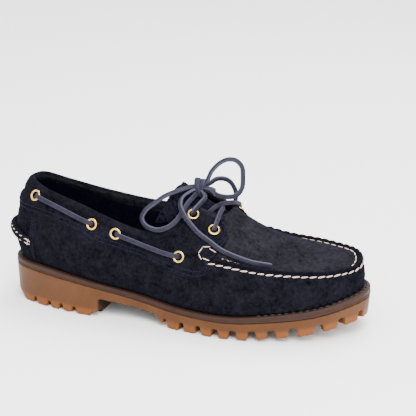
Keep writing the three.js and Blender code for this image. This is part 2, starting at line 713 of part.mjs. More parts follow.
for (const side of ["lateral", "medial"]) {
  const rise = [over(placeOf(`throat_2_${side}`), 1.9), ...vectors(bow[`${side}Rise`])];
  add(`lace_rise_${side}`, cordGeometry(rise, lace.barDiameter, 5), "lace");
  add(`lace_loop_${side}`, cordGeometry(vectors(bow[`${side}Loop`]), lace.diameter, 24), "lace");
  add(`lace_end_${side}`, cordGeometry(vectors(bow[`${side}End`]), lace.diameter, 14), "lace");
}
add("lace_knot", knotGeometry(), "lace");

const middle = footprint.getCenter(new THREE.Vector3());
const group = new THREE.Group();
shoe.position.set(-middle.x, -middle.y, 0);
group.add(shoe);
export default group;
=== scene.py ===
import math
import bmesh
import bpy
import numpy as np
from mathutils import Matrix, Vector


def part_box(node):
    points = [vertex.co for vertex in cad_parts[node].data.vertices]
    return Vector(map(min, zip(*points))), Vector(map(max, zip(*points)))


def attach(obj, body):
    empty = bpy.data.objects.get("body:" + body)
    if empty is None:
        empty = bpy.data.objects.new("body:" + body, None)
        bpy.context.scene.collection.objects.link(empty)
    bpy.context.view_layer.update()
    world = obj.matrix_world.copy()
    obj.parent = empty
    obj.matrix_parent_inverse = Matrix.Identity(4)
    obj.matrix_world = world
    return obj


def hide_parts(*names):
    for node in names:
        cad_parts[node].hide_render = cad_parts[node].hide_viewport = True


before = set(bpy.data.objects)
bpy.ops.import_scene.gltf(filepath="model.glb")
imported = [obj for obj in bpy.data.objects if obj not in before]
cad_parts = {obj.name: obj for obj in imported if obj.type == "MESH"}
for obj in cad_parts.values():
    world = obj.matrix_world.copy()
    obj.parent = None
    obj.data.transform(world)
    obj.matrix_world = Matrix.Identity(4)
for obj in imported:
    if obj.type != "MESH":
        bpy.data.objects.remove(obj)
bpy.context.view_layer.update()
scene = bpy.context.scene

# The tables are drawn in millimetres in the frame of the last: x from the back of the heel to the
# toe tip, y from the outer side, which is negative, to the inner side. A turn in degrees goes
# round the shoe: 0 heel, 90 outer waist, 180 toe, 270 inner waist. An up goes up the upper's
# wall: 0 foot, 1 waist, 2 seam, 3 edge, 4 crown, 5 rim.
last = {
    "length": 300.0,
    "wall": 2.0,
    "gap": 0.3,  # between one layer and the next
    "waistShare": 0.42,  # how high the waist line lies between the foot and the seam
    "seamRidge": 2.8,  # how far the hand-sewn seam stands proud
    "insole": 3.0,
    "tongue": 2.0,
}


def tableOf(names, rows):
    return {name: np.array(column, float) for name, column in zip(names.split(), zip(*rows))}


soleSections = tableOf("x lateral medial", [
    (0, 0, 0), (10, -21.3, 22.9), (40, -35, 36), (80, -42.6, 35), (120, -40.7, 32.3),
    (160, -49.5, 37.4), (200, -54.4, 47.3), (240, -47.8, 49.8), (270, -36.2, 42.8),
    (290, -18, 30.8), (300, 5, 5),
])

soleHeights = tableOf("x tread joint top", [
    (0, 0, 30.2, 35.4), (40, 0, 28.8, 34.2), (80, 0, 25.6, 29.9), (120, 0, 18.4, 22.9),
    (160, 0, 14.4, 18.9), (200, 0, 14, 18.9), (240, 3.2, 17.5, 23.1), (270, 7.2, 21.5, 27.5),
    (300, 12.5, 28.2, 34.5),
])

wallSections = tableOf("turn foot waist seam seamUp edge edgeUp dome ridge", [
    (0, 4.4, 0.6, 3, 75, 8, 91, 0.58, 0),
    (22, 4.2, 1, 3, 75, 7.4, 90, 0.56, 0),
    (42, 3.9, 1.3, 3.6, 73.5, 7.5, 86, 0.53, 0),
    (60, 3.8, 1.8, 5.4, 66, 8.6, 77, 0.5, 0),
    (76, 3.8, 1.2, 2.6, 57, 3.8, 69, 0.5, 0),
    (86, 3.8, 1.6, 3.2, 54, 5.4, 65, 0.54, 0),
    (94, 3.8, 2, 5.6, 54.5, 9.4, 64, 0.62, 0),
    (101, 3.8, 2.4, 7.8, 58, 13, 64, 0.6, 0.5),
    (108, 3.8, 2.6, 7.4, 57.6, 13.4, 61.8, 0.54, 1),
    (120, 3.8, 2.6, 6.3, 54.6, 12.6, 57, 0.42, 1),
    (138, 4, 2.8, 5.4, 52.6, 11.4, 54.8, 0.3, 1),
    (160, 4.8, 3.6, 5.5, 51.5, 11.4, 53.8, 0.23, 1),
    (180, 5.4, 4.4, 6.8, 53.4, 12.8, 55, 0.22, 1),
    (200, 5.2, 4.2, 7, 55.2, 13, 56.8, 0.23, 1),
    (222, 4.4, 3.2, 7, 55.4, 13, 57.3, 0.3, 1),
    (240, 3.8, 2.8, 7, 57, 13, 59, 0.44, 1),
    (252, 3.8, 2.2, 7, 61, 12.6, 66, 0.56, 1),
    (260, 3.8, 1.6, 5, 61, 8.6, 70, 0.66, 0.4),
    (270, 3.8, 1, 2.2, 58, 4, 70, 0.64, 0),
    (284, 3.8, 0.6, 1.2, 58, 1.8, 70, 0.5, 0),
    (300, 3.8, 1, 2.2, 66, 3.6, 76, 0.5, 0),
    (318, 3.9, 1.3, 3.6, 73.5, 7, 85, 0.53, 0),
    (338, 4.2, 1, 3, 75, 7.4, 90, 0.56, 0),
])

openingEdge = tableOf("turn x y z", [
    (0, 16, 1, 102.5), (22, 20, -10, 101.6), (42, 37, -21, 97), (60, 72, -29.5, 89),
    (76, 110, -35.5, 78.4), (84, 130, -36, 75.4), (90, 144, -33, 80), (94, 152, -27, 87),
    (97, 156.5, -20, 93.5), (101, 163, -16, 94.4), (107, 174, -14.5, 90.8),
    (114, 182, -12.5, 88.2), (130, 185, -7.5, 88), (180, 186, 1, 88.5), (230, 185, 9.5, 88.2),
    (246, 182, 14.5, 88.6), (253, 174, 16.5, 91.6), (259, 163, 18, 95.2),
    (263, 156.5, 21.5, 94), (267, 150, 26, 87), (272, 140, 29, 80.6), (284, 112, 31.5, 79.6),
    (300, 74, 31, 84.4), (318, 37, 26, 92.8), (338, 21, 13.5, 101),
])


def hermite(t, start, startSlope, end, endSlope):
    return (start * (2 * t**3 - 3 * t**2 + 1) + startSlope * (t**3 - 2 * t**2 + t)
            + end * (3 * t**2 - 2 * t**3) + endSlope * (t**3 - t**2))


def curveOf(keys, values, period=0):
    keys = np.asarray(keys, float)
    values = np.asarray(values, float)
    if period:
        keys = np.concatenate([keys[-2:] - period, keys, keys[:2] + period])
        values = np.concatenate([values[-2:], values, values[:2]])
    slopes = np.gradient(values, keys)
    slopes[1:-1] = (values[2:] - values[:-2]) / (keys[2:] - keys[:-2])

    def at(place):
        place = np.asarray(place, float)
        where = place % period if period else np.clip(place, keys[0], keys[-1])
        i = np.clip(np.searchsorted(keys, where, side="right") - 1, 0, len(keys) - 2)
        span = keys[i + 1] - keys[i]
        return hermite((where - keys[i]) / span, values[i], slopes[i] * span,
                       values[i + 1], slopes[i + 1] * span)

    return at


def curvesOf(table, key, period=0):
    return {name: curveOf(table[key], column, period) for name, column in table.items()}


def turnsAt(x):
    return np.degrees(np.arccos(np.clip(1 - 2 * np.asarray(x, float) / last["length"], -1, 1)))


wayBack = slice(-2, 0, -1)  # from the toe back to the heel
outlineTurns = np.concatenate([turnsAt(soleSections["x"]),
                               360 - turnsAt(soleSections["x"][wayBack])])
outlineSides = np.concatenate([soleSections["lateral"], soleSections["medial"][wayBack]])
outlineY = curveOf(outlineTurns, outlineSides, 360)
sectionCurves = curvesOf(wallSections, "turn", 360)
openingCurves = curvesOf(openingEdge, "turn", 360)
heightCurves = curvesOf(soleHeights, "x")


def edgePoint(turn):
    turn = np.asarray(turn, float)
    return np.stack([last["length"] / 2 * (1 - np.cos(np.radians(turn))), outlineY(turn)], -1)


def insetPoint(turn, inset):
    along = edgePoint(np.asarray(turn) + 1.5) - edgePoint(np.asarray(turn) - 1.5)
    along /= np.linalg.norm(along, axis=-1, keepdims=True)
    inward = np.stack([-along[..., 1], along[..., 0]], -1)
    return edgePoint(turn) + inward * np.asarray(inset)[..., None]


def heightAt(x, column):
    return np.maximum(0, heightCurves[column](x))


def meridian(turn):
    turn = np.asarray(turn, float)
    flat = [insetPoint(turn, sectionCurves[name](turn))
            for name in ("foot", "waist", "seam", "edge")]
    footUp = heightAt(edgePoint(turn)[..., 0], "top") + 1.5 * last["gap"]
    seamUp = sectionCurves["seamUp"](turn)
    heights = [footUp, footUp + last["waistShare"] * (seamUp - footUp), seamUp,
               sectionCurves["edgeUp"](turn)]
    points = [np.concatenate([p, z[..., None]], -1) for p, z in zip(flat, heights)]
    rim = np.stack([openingCurves[name](turn) for name in "xyz"], -1)
    crown = (points[3] + rim) / 2
    climb = rim[..., 2] - points[3][..., 2]
    crown[..., 2] = points[3][..., 2] + sectionCurves["dome"](turn) * climb
    return np.stack([*points, crown, rim])


def upperPoint(turn, up):
    turn, up = np.broadcast_arrays(np.asarray(turn, float), np.asarray(up, float))
    points = meridian(turn)
    chords = np.maximum(np.sqrt(np.linalg.norm(points[1:] - points[:-1], axis=-1)), 1e-3)
    slopes = np.empty_like(points)
    slopes[0] = (points[1] - points[0]) / chords[0][..., None]
    slopes[-1] = (points[-1] - points[-2]) / chords[-1][..., None]
    slopes[1:-1] = (points[2:] - points[:-2]) / (chords[1:] + chords[:-1])[..., None]
    i = np.clip(np.floor(up).astype(int), 0, 4)
    t = (up - i)[..., None]

    def take(rows, j):
        return np.take_along_axis(rows, j[None, ..., None], 0)[0]

    span = np.take_along_axis(chords, i[None], 0)[0][..., None]
    return hermite(t, take(points, i), take(slopes, i) * span,
                   take(points, i + 1), take(slopes, i + 1) * span)


def upperNormal(turn, up):
    turn, up = np.broadcast_arrays(np.asarray(turn, float), np.asarray(up, float))
    rounds = upperPoint(turn + 1.2, up) - upperPoint(turn - 1.2, up)
    climb = upperPoint(turn, np.minimum(up + 0.06, 5)) - upperPoint(turn, np.maximum(up - 0.06, 0))
    normal = np.cross(rounds, climb)
    return normal / np.linalg.norm(normal, axis=-1, keepdims=True)


def ridgeShare(turn):
    return np.clip(sectionCurves["ridge"](turn), 0, 1)


def ridgeAt(turn, up):
    inside = np.clip(np.asarray(up, float) - 2, 0, 1)
    return ridgeShare(turn) * np.sin(np.pi * inside) ** 0.7


# From the last's frame to the part's: the outsole's box says where the last's origin lies.
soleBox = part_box("outsole")
slabTurns = np.linspace(4, 176, 44)
shift = np.array([
    soleBox[0][0] - edgePoint(slabTurns)[:, 0].min() / 1000,
    soleBox[0][1] - edgePoint(slabTurns)[:, 1].min() / 1000,
    0.0,
])


def placed(points):
    return np.asarray(points, float) / 1000 + shift


# A smooth line through every point, evenly divided.
def smoothPath(points, step):
    points = np.asarray(points, float)
    ends = np.vstack([2 * points[0] - points[1], points, 2 * points[-1] - points[-2]])
    times = np.concatenate([[0], np.cumsum(np.sqrt(np.linalg.norm(np.diff(ends, axis=0), axis=1)))])
    line = []
    for i in range(1, len(ends) - 2):
        p0, p1, p2, p3 = ends[i - 1:i + 3]
        t0, t1, t2, t3 = times[i - 1:i + 3]
        for t in np.linspace(t1, t2, 12, endpoint=False):
            a1 = (t1 - t) / (t1 - t0) * p0 + (t - t0) / (t1 - t0) * p1
            a2 = (t2 - t) / (t2 - t1) * p1 + (t - t1) / (t2 - t1) * p2
            a3 = (t3 - t) / (t3 - t2) * p2 + (t - t2) / (t3 - t2) * p3
            b1 = (t2 - t) / (t2 - t0) * a1 + (t - t0) / (t2 - t0) * a2
            b2 = (t3 - t) / (t3 - t1) * a2 + (t - t1) / (t3 - t1) * a3
            line.append((t2 - t) / (t2 - t1) * b1 + (t - t1) / (t2 - t1) * b2)
    line.append(points[-1])
    return evenly(np.array(line), step)


def lengthsAlong(line):
    return np.concatenate([[0], np.cumsum(np.linalg.norm(np.diff(line, axis=0), axis=1))])


def evenly(line, step):
    run = lengthsAlong(line)
    at = np.linspace(0, run[-1], max(2, int(round(run[-1] / step)) + 1))
    return np.stack([np.interp(at, run, line[:, k]) for k in range(3)], -1)


def unit(vectors):
    return vectors / np.maximum(np.linalg.norm(vectors, axis=-1, keepdims=True), 1e-9)


def meshObject(name, verts, faces, smooth=True):
    mesh = bpy.data.meshes.new(name)
    mesh.from_pydata(placed(verts).tolist(), [], faces)
    mesh.update()
    mesh.polygons.foreach_set("use_smooth", [smooth] * len(mesh.polygons))
    thing = bpy.data.objects.new(name, mesh)
    scene.collection.objects.link(thing)
    return thing


def gridFaces(rows, columns, loopRows=False, loopColumns=False):
    r = np.arange(rows if loopRows else rows - 1)
    c = np.arange(columns if loopColumns else columns - 1)
    r, c = np.meshgrid(r, c, indexing="ij")
    r2, c2 = (r + 1) % rows, (c + 1) % columns
    quads = np.stack([r * columns + c, r2 * columns + c, r2 * columns + c2, r * columns + c2], -1)
    return quads.reshape(-1, 4).tolist()


def setAttribute(thing, name, values):
    layer = thing.data.attributes.new(name, "FLOAT", "POINT")
    layer.data.foreach_set("value", np.asarray(values, np.float32).ravel())


# The closing faces of a row of points that goes out and comes back.
def capFaces(row, width, flip=False):
    quads = [[row * width + k, row * width + k + 1, row * width + width - 2 - k,
              row * width + width - 1 - k] for k in range(width // 2 - 1)]
    return [quad[::-1] for quad in quads] if flip else quads


def applied(thing):
    graph = bpy.context.evaluated_depsgraph_get()
    mesh = bpy.data.meshes.new_from_object(thing.evaluated_get(graph))
    thing.modifiers.clear()
    thing.data = mesh
    return thing


# Doubles merged and every face turned outwards.
def outward(thing):
    work = bmesh.new()
    work.from_mesh(thing.data)
    bmesh.ops.remove_doubles(work, verts=work.verts, dist=1e-6)
    bmesh.ops.recalc_face_normals(work, faces=work.faces)
    work.to_mesh(thing.data)
    work.free()
    return thing


# Both places are in the frame of the last.
cameraView = {"target": (160.8, 18.4, 82.2), "place": (553.5, -1155.2, 492.3), "lens": 138.46,
              "sensor": 36, "near": 0.05, "far": 20}

cameraData = bpy.data.cameras.new("camera")
cameraData.lens = cameraView["lens"]
cameraData.sensor_width = cameraView["sensor"]
cameraData.clip_start, cameraData.clip_end = cameraView["near"], cameraView["far"]
camera = bpy.data.objects.new("camera", cameraData)
scene.collection.objects.link(camera)
camera.location = placed(cameraView["place"])
aim = Vector(placed(cameraView["target"])) - camera.location
camera.rotation_euler = aim.to_track_quat("-Z", "Y").to_euler()
scene.camera = camera
print("camera ready")


def newTree(name, kind, inputs, outputs):
    tree = bpy.data.node_groups.new(name, kind)
    for label, socketType, value in inputs:
        socket = tree.interface.new_socket(label, in_out="INPUT", socket_type=socketType)
        if value is not None:
            socket.default_value = value
    for label, socketType in outputs:
        tree.interface.new_socket(label, in_out="OUTPUT", socket_type=socketType)
    return tree, tree.nodes.new("NodeGroupInput").outputs, tree.nodes.new("NodeGroupOutput").inputs


# An input is another node's output or a plain value; what comes back is the node's outputs.
def addNode(tree, kind, inputs, **settings):
    node = tree.nodes.new(kind)
    for label, value in settings.items():
        setattr(node, label, value)
    for label, value in inputs.items():
        if isinstance(value, bpy.types.NodeSocket):
            tree.links.new(value, node.inputs[label])
        else:
            node.inputs[label].default_value = value
    return node.outputs


def mathNode(tree, operation, *values):
    return addNode(tree, "ShaderNodeMath", dict(enumerate(values)), operation=operation)[0]


def noiseNode(tree, vector, scale, detail=3.0, roughness=0.55, distortion=0.0):
    return addNode(tree, "ShaderNodeTexNoise", {
        "Vector": vector, "Scale": scale, "Detail": detail, "Roughness": roughness,
        "Distortion": distortion})["Fac"]


def mixColour(tree, share, first, second):
    return addNode(tree, "ShaderNodeMix", {0: share, 6: first, 7: second}, data_type="RGBA")[2]


def stretched(tree, value, low, high):
    return addNode(tree, "ShaderNodeMapRange", {
        "Value": value, "From Min": low, "From Max": high},
        interpolation_type="SMOOTHSTEP")["Result"]


def clamped(tree, value):
    return mathNode(tree, "MINIMUM", mathNode(tree, "MAXIMUM", value, 0.0), 1.0)


patternOutputs = [("Color", "NodeSocketColor"), ("Height", "NodeSocketFloat"),
                  ("Roughness", "NodeSocketFloat")]


def napGroup():
    tree, given, out = newTree("nap", "ShaderNodeTree", [
        ("Vector", "NodeSocketVector", (0, 0, 0)),
        ("Dark", "NodeSocketColor", (0.01, 0.01, 0.02, 1)),
        ("Light", "NodeSocketColor", (0.03, 0.03, 0.05, 1)),
        ("Patch Scale", "NodeSocketFloat", 60.0),
        ("Pile Scale", "NodeSocketFloat", 900.0),
        ("Contrast", "NodeSocketFloat", 0.5),
    ], patternOutputs)
    vector = given["Vector"]
    middleScale = mathNode(tree, "MULTIPLY", given["Patch Scale"], 4.2)
    patches = noiseNode(tree, vector, given["Patch Scale"], 3, 0.6, 0.6)
    middle = noiseNode(tree, vector, middleScale, 3, 0.6)
    pile = noiseNode(tree, vector, given["Pile Scale"], 4, 0.7)
    mixed = mathNode(tree, "ADD", mathNode(tree, "MULTIPLY", patches, 0.36),
                     mathNode(tree, "MULTIPLY", middle, 0.34))
    mixed = mathNode(tree, "ADD", mixed, mathNode(tree, "MULTIPLY", pile, 0.30))
    wide = mathNode(tree, "MULTIPLY_ADD", mathNode(tree, "SUBTRACT", mixed, 0.5),
                    mathNode(tree, "MULTIPLY", given["Contrast"], 6.0), 0.5)
    share = clamped(tree, wide)
    height = mathNode(tree, "ADD", mathNode(tree, "MULTIPLY", pile, 0.7),
                      mathNode(tree, "MULTIPLY", middle, 0.5))
    tree.links.new(mixColour(tree, share, given["Dark"], given["Light"]), out["Color"])
    tree.links.new(height, out["Height"])
    tree.links.new(mathNode(tree, "MULTIPLY_ADD", share, 0.12, 0.82), out["Roughness"])
    return tree


def mottleGroup():
    tree, given, out = newTree("mottle", "ShaderNodeTree", [
        ("Vector", "NodeSocketVector", (0, 0, 0)),
        ("Base", "NodeSocketColor", (0.5, 0.3, 0.2, 1)),
        ("Stain", "NodeSocketColor", (0.3, 0.2, 0.1, 1)),
        ("Scale", "NodeSocketFloat", 40.0),
        ("Amount", "NodeSocketFloat", 0.4),
        ("Speckle", "NodeSocketFloat", 0.2),
        ("Smoothness", "NodeSocketFloat", 0.5),
    ], patternOutputs)
    vector = given["Vector"]
    wide = stretched(tree, noiseNode(tree, vector, given["Scale"], 4, 0.6, 0.4), 0.35, 0.7)
    grainScale = mathNode(tree, "MULTIPLY", given["Scale"], 22.0)
    grain = noiseNode(tree, vector, grainScale, 3, 0.6)
    speckle = mathNode(tree, "MULTIPLY", mathNode(tree, "SUBTRACT", grain, 0.5), given["Speckle"])
    share = mathNode(tree, "ADD", mathNode(tree, "MULTIPLY", wide, given["Amount"]), speckle)
    share = clamped(tree, share)
    rough = mathNode(tree, "SUBTRACT", mathNode(tree, "MULTIPLY_ADD", share, 0.15, 1.0),
                     given["Smoothness"])
    tree.links.new(mixColour(tree, share, given["Base"], given["Stain"]), out["Color"])
    tree.links.new(grain, out["Height"])
    tree.links.new(rough, out["Roughness"])
    return tree


nap = napGroup()
mottle = mottleGroup()


# The layers are colours laid on where an attribute says, and the bump's two numbers are its
# strength and its height in metres.
def newMaterial(name, group, values, bump, layers, plain):
    material = bpy.data.materials.new(name)
    material.use_nodes = True
    tree = material.node_tree
    shader = tree.nodes["Principled BSDF"]
    place = addNode(tree, "ShaderNodeTexCoord", {})["Object"]
    pattern = addNode(tree, "ShaderNodeGroup", {"Vector": place, **values}, node_tree=group)
    colour = pattern["Color"]
    for attribute, laid in layers.items():
        mask = addNode(tree, "ShaderNodeAttribute", {}, attribute_name=attribute)["Fac"]
        colour = mixColour(tree, mask, colour, laid)
    relief = addNode(tree, "ShaderNodeBump", {
        "Strength": bump[0], "Distance": bump[1], "Height": pattern["Height"]})
    tree.links.new(colour, shader.inputs["Base Color"])
    tree.links.new(pattern["Roughness"], shader.inputs["Roughness"])
    tree.links.new(relief["Normal"], shader.inputs["Normal"])
    for label, value in plain.items():
        shader.inputs[label].default_value = value
    return material


suedeSheen = {"Sheen Weight": 0.018, "Sheen Roughness": 0.5, "Sheen Tint": (0.5, 0.5, 0.75, 1),
              "Specular IOR Level": 0.0}
# The colour of the painted shade on the upper: its seam grooves, the flank between stitches and its
# foot.
creaseShade = {"shade": (0.002, 0.002, 0.004, 1)}
suede = newMaterial("nappedSuede", nap, {
    "Dark": (0.0011, 0.0011, 0.0019, 1), "Light": (0.0088, 0.0083, 0.0124, 1),
    "Patch Scale": 70.0, "Pile Scale": 480.0, "Contrast": 0.6,
}, (0.55, 0.0006), creaseShade, suedeSheen)
tongueSuede = newMaterial("fleshSuede", nap, {
    "Dark": (0.0004, 0.0004, 0.0010, 1), "Light": (0.0125, 0.0118, 0.021, 1),
    "Patch Scale": 230.0, "Pile Scale": 1000.0, "Contrast": 0.9,
}, (0.9, 0.0012), {}, suedeSheen)
# A lighter, greyer copy of the suede: painted top light on the plug, and painted light on the
# shaded rim inside the collar's roll.
paintedLightSuede = newMaterial("paintedLightSuede", nap, {
    "Dark": (0.0028, 0.0028, 0.0038, 1), "Light": (0.0150, 0.0145, 0.0190, 1),
    "Patch Scale": 75.0, "Pile Scale": 480.0, "Contrast": 0.65,
}, (0.55, 0.0006), creaseShade, suedeSheen)
lining = newMaterial("collarLining", nap, {
    "Dark": (0.0006, 0.0006, 0.002, 1), "Light": (0.0035, 0.0038, 0.009, 1),
    "Patch Scale": 60.0, "Pile Scale": 700.0, "Contrast": 0.4,
}, (0.4, 0.0005), {}, {"Specular IOR Level": 0.0})
# The gum's layers are a painted glow on the lugs and painted shadow in the arch, the heel's breast
# and its step.
gum = newMaterial("gumRubber", mottle, {
    "Base": (0.078, 0.0287, 0.0080, 1), "Stain": (0.051, 0.0175, 0.0047, 1),
    "Scale": 28.0, "Amount": 0.6, "Speckle": 0.35,
}, (0.35, 0.0004), {
    "shade": (0.17, 0.052, 0.010, 1), "archShadow": (0.012, 0.006, 0.003, 1),
}, {"Specular IOR Level": 0.16})
midsoleRubber = newMaterial("midsoleRubber", mottle, {
    "Base": (0.0275, 0.0120, 0.0076, 1), "Stain": (0.0150, 0.0066, 0.0043, 1),
    "Scale": 34.0, "Amount": 0.6, "Speckle": 0.5,
}, (0.5, 0.0005), {"shade": (0.008, 0.005, 0.004, 1)}, {"Specular IOR Level": 0.14})
brass = newMaterial("paleBrass", mottle, {
    "Base": (0.70, 0.50, 0.14, 1), "Stain": (0.36, 0.22, 0.05, 1),
    "Scale": 300.0, "Amount": 0.3, "Speckle": 0.1, "Smoothness": 0.78,
}, (0.05, 0.0001), {}, {"Metallic": 1.0})
laceLeather = newMaterial("laceLeather", mottle, {
    "Base": (0.016, 0.015, 0.026, 1), "Stain": (0.007, 0.0065, 0.012, 1),
    "Scale": 140.0, "Amount": 0.7, "Speckle": 0.6,
}, (0.4, 0.0004), {"shade": (0.052, 0.050, 0.08, 1)}, {"Specular IOR Level": 0.1})
creamThread = newMaterial("creamThread", mottle, {
    "Base": (0.50, 0.39, 0.33, 1), "Stain": (0.28, 0.19, 0.15, 1),
    "Scale": 500.0, "Amount": 0.5, "Speckle": 0.5,
}, (0.5, 0.0003), {}, {"Specular IOR Level": 0.25})
darkThread = newMaterial("darkThread", mottle, {
    "Base": (0.0105, 0.0105, 0.022, 1), "Stain": (0.003, 0.003, 0.007, 1),
    "Scale": 400.0, "Amount": 0.8, "Speckle": 0.4,
}, (0.4, 0.0003), {}, {"Specular IOR Level": 0.05})
soleThread = newMaterial("soleThread", mottle, {
    "Base": (0.0045, 0.0038, 0.0045, 1), "Stain": (0.0018, 0.0016, 0.002, 1),
    "Scale": 400.0, "Amount": 0.5, "Speckle": 0.4,
}, (0.4, 0.0003), {}, {"Specular IOR Level": 0.3})
print("materials ready")

laceLook = {
    "halfWidth": 1.85, "halfThick": 1.15, "round": 0.55, "step": 0.9,
    "paleFrom": 0.62, "paleTint": 0.75,  # the paler edges start at this share of the half width
    "cutEnd": 0.6,  # how much of its width a cut end keeps
    "inside": 1.0, "lip": 0.6,  # how deep a lace starts in its eyelet, and where it comes out
    "overCollar": 3.0, "overThroat": 3.6, "overRise": 5.3,  # how high it then lies
    "runHalf": (1.85, 1.05), "barHalf": (1.8, 1.1), "wrapHalf": (2.1, 1.0), "tuckHalf": (1.6, 0.95),
}


def laceSection(width, thick):
    corner = min(laceLook["round"], thick * 0.8)
    points = []
    for sx, sy, start in ((1, 1, 0), (-1, 1, 90), (-1, -1, 180), (1, -1, 270)):
        for extra in (0, 45, 90):
            angle = math.radians(start + extra)
            points.append((sx * (width - corner) + corner * math.cos(angle),
                           sy * (thick - corner) + corner * math.sin(angle)))
    return np.array(points)


def laceMesh(name, line, facing, half=(laceLook["halfWidth"], laceLook["halfThick"]), cut=False):
    width, thick = half
    along = unit(np.gradient(line, axis=0))
    facing = np.broadcast_to(np.asarray(facing, float), line.shape)
    side = unit(np.cross(along, facing))
    face = unit(np.cross(side, along))
    section = laceSection(width, thick)
    rings = (line[:, None] + side[:, None] * section[None, :, :1]
             + face[:, None] * section[None, :, 1:])
    if cut:
        rings[-1] = line[-1] + (rings[-1] - line[-1]) * laceLook["cutEnd"]
    count = section.shape[0]
    faces = gridFaces(len(line), count, loopColumns=True)
    faces.append(list(range(count))[::-1])
    faces.append([(len(line) - 1) * count + k for k in range(count)])
    lace = outward(meshObject(name, rings.reshape(-1, 3), faces))
    lace.data.materials.append(laceLeather)
    # The lace's edges are painted paler.
    edgeFrom = laceLook["paleFrom"]
    edge = np.clip((np.abs(section[:, 0]) - width * edgeFrom) / (width * (1 - edgeFrom)), 0, 1) ** 2
    setAttribute(lace, "shade", np.tile(edge * laceLook["paleTint"], len(line)))
    return lace


# The flat side of a lace, carried along it without twisting.
def carriedFacing(line, start):
    along = unit(np.gradient(line, axis=0))
    facing = [unit(np.asarray(start, float))]
    for here in along[1:]:
        turned = facing[-1] - here * np.dot(facing[-1], here)
        facing.append(unit(turned))
    return np.array(facing)


# Turn and up of the outer side's eyelet, then of the inner side's.
eyeletRows = {
    "collar_1": (32.5, 3.4, 327, 3.4), "collar_2": (62.5, 3.15, 298, 3.15),
    "collar_3": (71.5, 3.1, 289, 3.1), "collar_4": (92, 2.6, 267, 2.7),
    "throat_1": (105.5, 4.05, 250, 4.4), "throat_2": (98.5, 4.55, 261.5, 4.55),
}
eyeletPlaces = {}
for label, (lateralTurn, lateralUp, medialTurn, medialUp) in eyeletRows.items():
    for side, turn, up in (("lateral", lateralTurn, lateralUp), ("medial", medialTurn, medialUp)):
        eyeletPlaces[label + "_" + side] = {
            "turn": turn, "up": up, "point": upperPoint(turn, up), "normal": upperNormal(turn, up)}

# A wrap is its lean, its place along the knot and its size. What runs through the knot is
# given from the knot's middle, everything else from the last's origin.
bow = {
    "knot": (161.5, -3, 106.5),
    "wraps": ((-0.16, -1.2, 1.0), (0.22, 1.5, 0.92)),
    "wrapAcross": 4.2, "wrapHigh": 7.4, "wrapLean": 5.2, "wrapDrop": 0.6, "wrapSteps": 41,
    "tuck": [(163.5, -5.4, 107.5), (167.5, -7.6, 108.2), (171.5, -8.2, 107.4),
             (175.2, -8.0, 104.6), (176.2, -7.6, 101.8)],
    "lateralThrough": [(4.0, -4.0, -3.0), (0.2, -2.8, -0.6), (-2.8, -3.4, -1.0)],
    "medialThrough": [(-0.6, 2.2, -1.2), (2.4, 2.6, 0.4)],
    "lateralLoopEnds": [(-2.0, 0, 0.6), (-1.6, -2.4, -3.2)],
    "medialLoopEnds": [(2.0, 0.6, 2.4), (3.0, -1.6, -1.2)],
    "lateralLoop": [
        (155.6, -4.4, 107), (147.5, -12, 105.5), (137.6, -20, 101.9), (131.3, -26, 97.3),
        (125.5, -31, 92.4), (122.8, -33, 86), (125.7, -34.4, 81.2), (131.9, -36, 79),
        (139.7, -38, 79.6), (147.6, -36, 83), (152.4, -31.5, 88), (154.8, -26, 93),
        (156.6, -17, 98), (158.4, -10.4, 100.4)],
    "medialLoop": [
        (166.5, -1, 112), (169.6, 2, 119.4), (175, 6, 125.4), (181, 8, 128.3), (187.7, 8, 128.1),
        (193.4, 6, 123.8), (195.5, 2, 116.9), (196.3, -3, 109.3), (193.1, -6, 104.1),
        (186.3, -8, 102.4), (178, -8, 103), (170.6, -5.4, 105.4)],
    "lateralEnd": [
        (154.6, -10, 103.6), (151.6, -19, 101.4), (154, -29.5, 97.6), (158.9, -34, 92),
        (163.7, -33.4, 85.4), (170.6, -35, 79.6), (179.3, -36.6, 74.8), (190.2, -39.2, 69.2),
        (201.7, -40.4, 65.6), (215.4, -40.3, 62.2), (223.6, -38.8, 60.9), (231.6, -36.8, 59.7)],
    "medialEnd": [
        (167.6, 4.5, 108.5), (171.5, 7.5, 111.2), (177.1, 11, 111), (180.9, 15, 107.5),
        (182.5, 20, 101.5), (182.4, 25, 96), (181, 29.5, 90.5), (179.5, 33.2, 84.5),
        (178.5, 36.4, 78)],
    "lateralRise": [(165.8, -15.5, 97.4), (168.2, -10.2, 101.0)],
    "medialRise": [(163, 17.5, 99.4), (162.8, 7.4, 101)],
}
throat = {
    "low": [(182, -13.5, 91), (180.5, -3, 91), (176, 8, 90.4), (171.5, 16, 86.5),
            (169.5, 19.5, 84.2)],
    "high": [(185.4, 11, 91.8), (180.6, 2, 93.4), (175.5, -5, 92.3), (170, -14.5, 87.1),
             (168, -18, 84.9)],
}
knotMiddle = np.array(bow["knot"], float)


# A lace's first points: inside its eyelet, at the lip and on along the eyelet's axis.
def outOf(place, *further):
    return [place["point"] + place["normal"] * reach
            for reach in (-laceLook["inside"], laceLook["lip"], *further)]


def declaredLace(name, points, nodes):
    line = smoothPath(points, laceLook["step"])
    lace = laceMesh(name, line, carriedFacing(line, (0, -0.4, 1)), cut=True)
    for node in nodes:
        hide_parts(node)
    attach(lace, "root")
    return lace


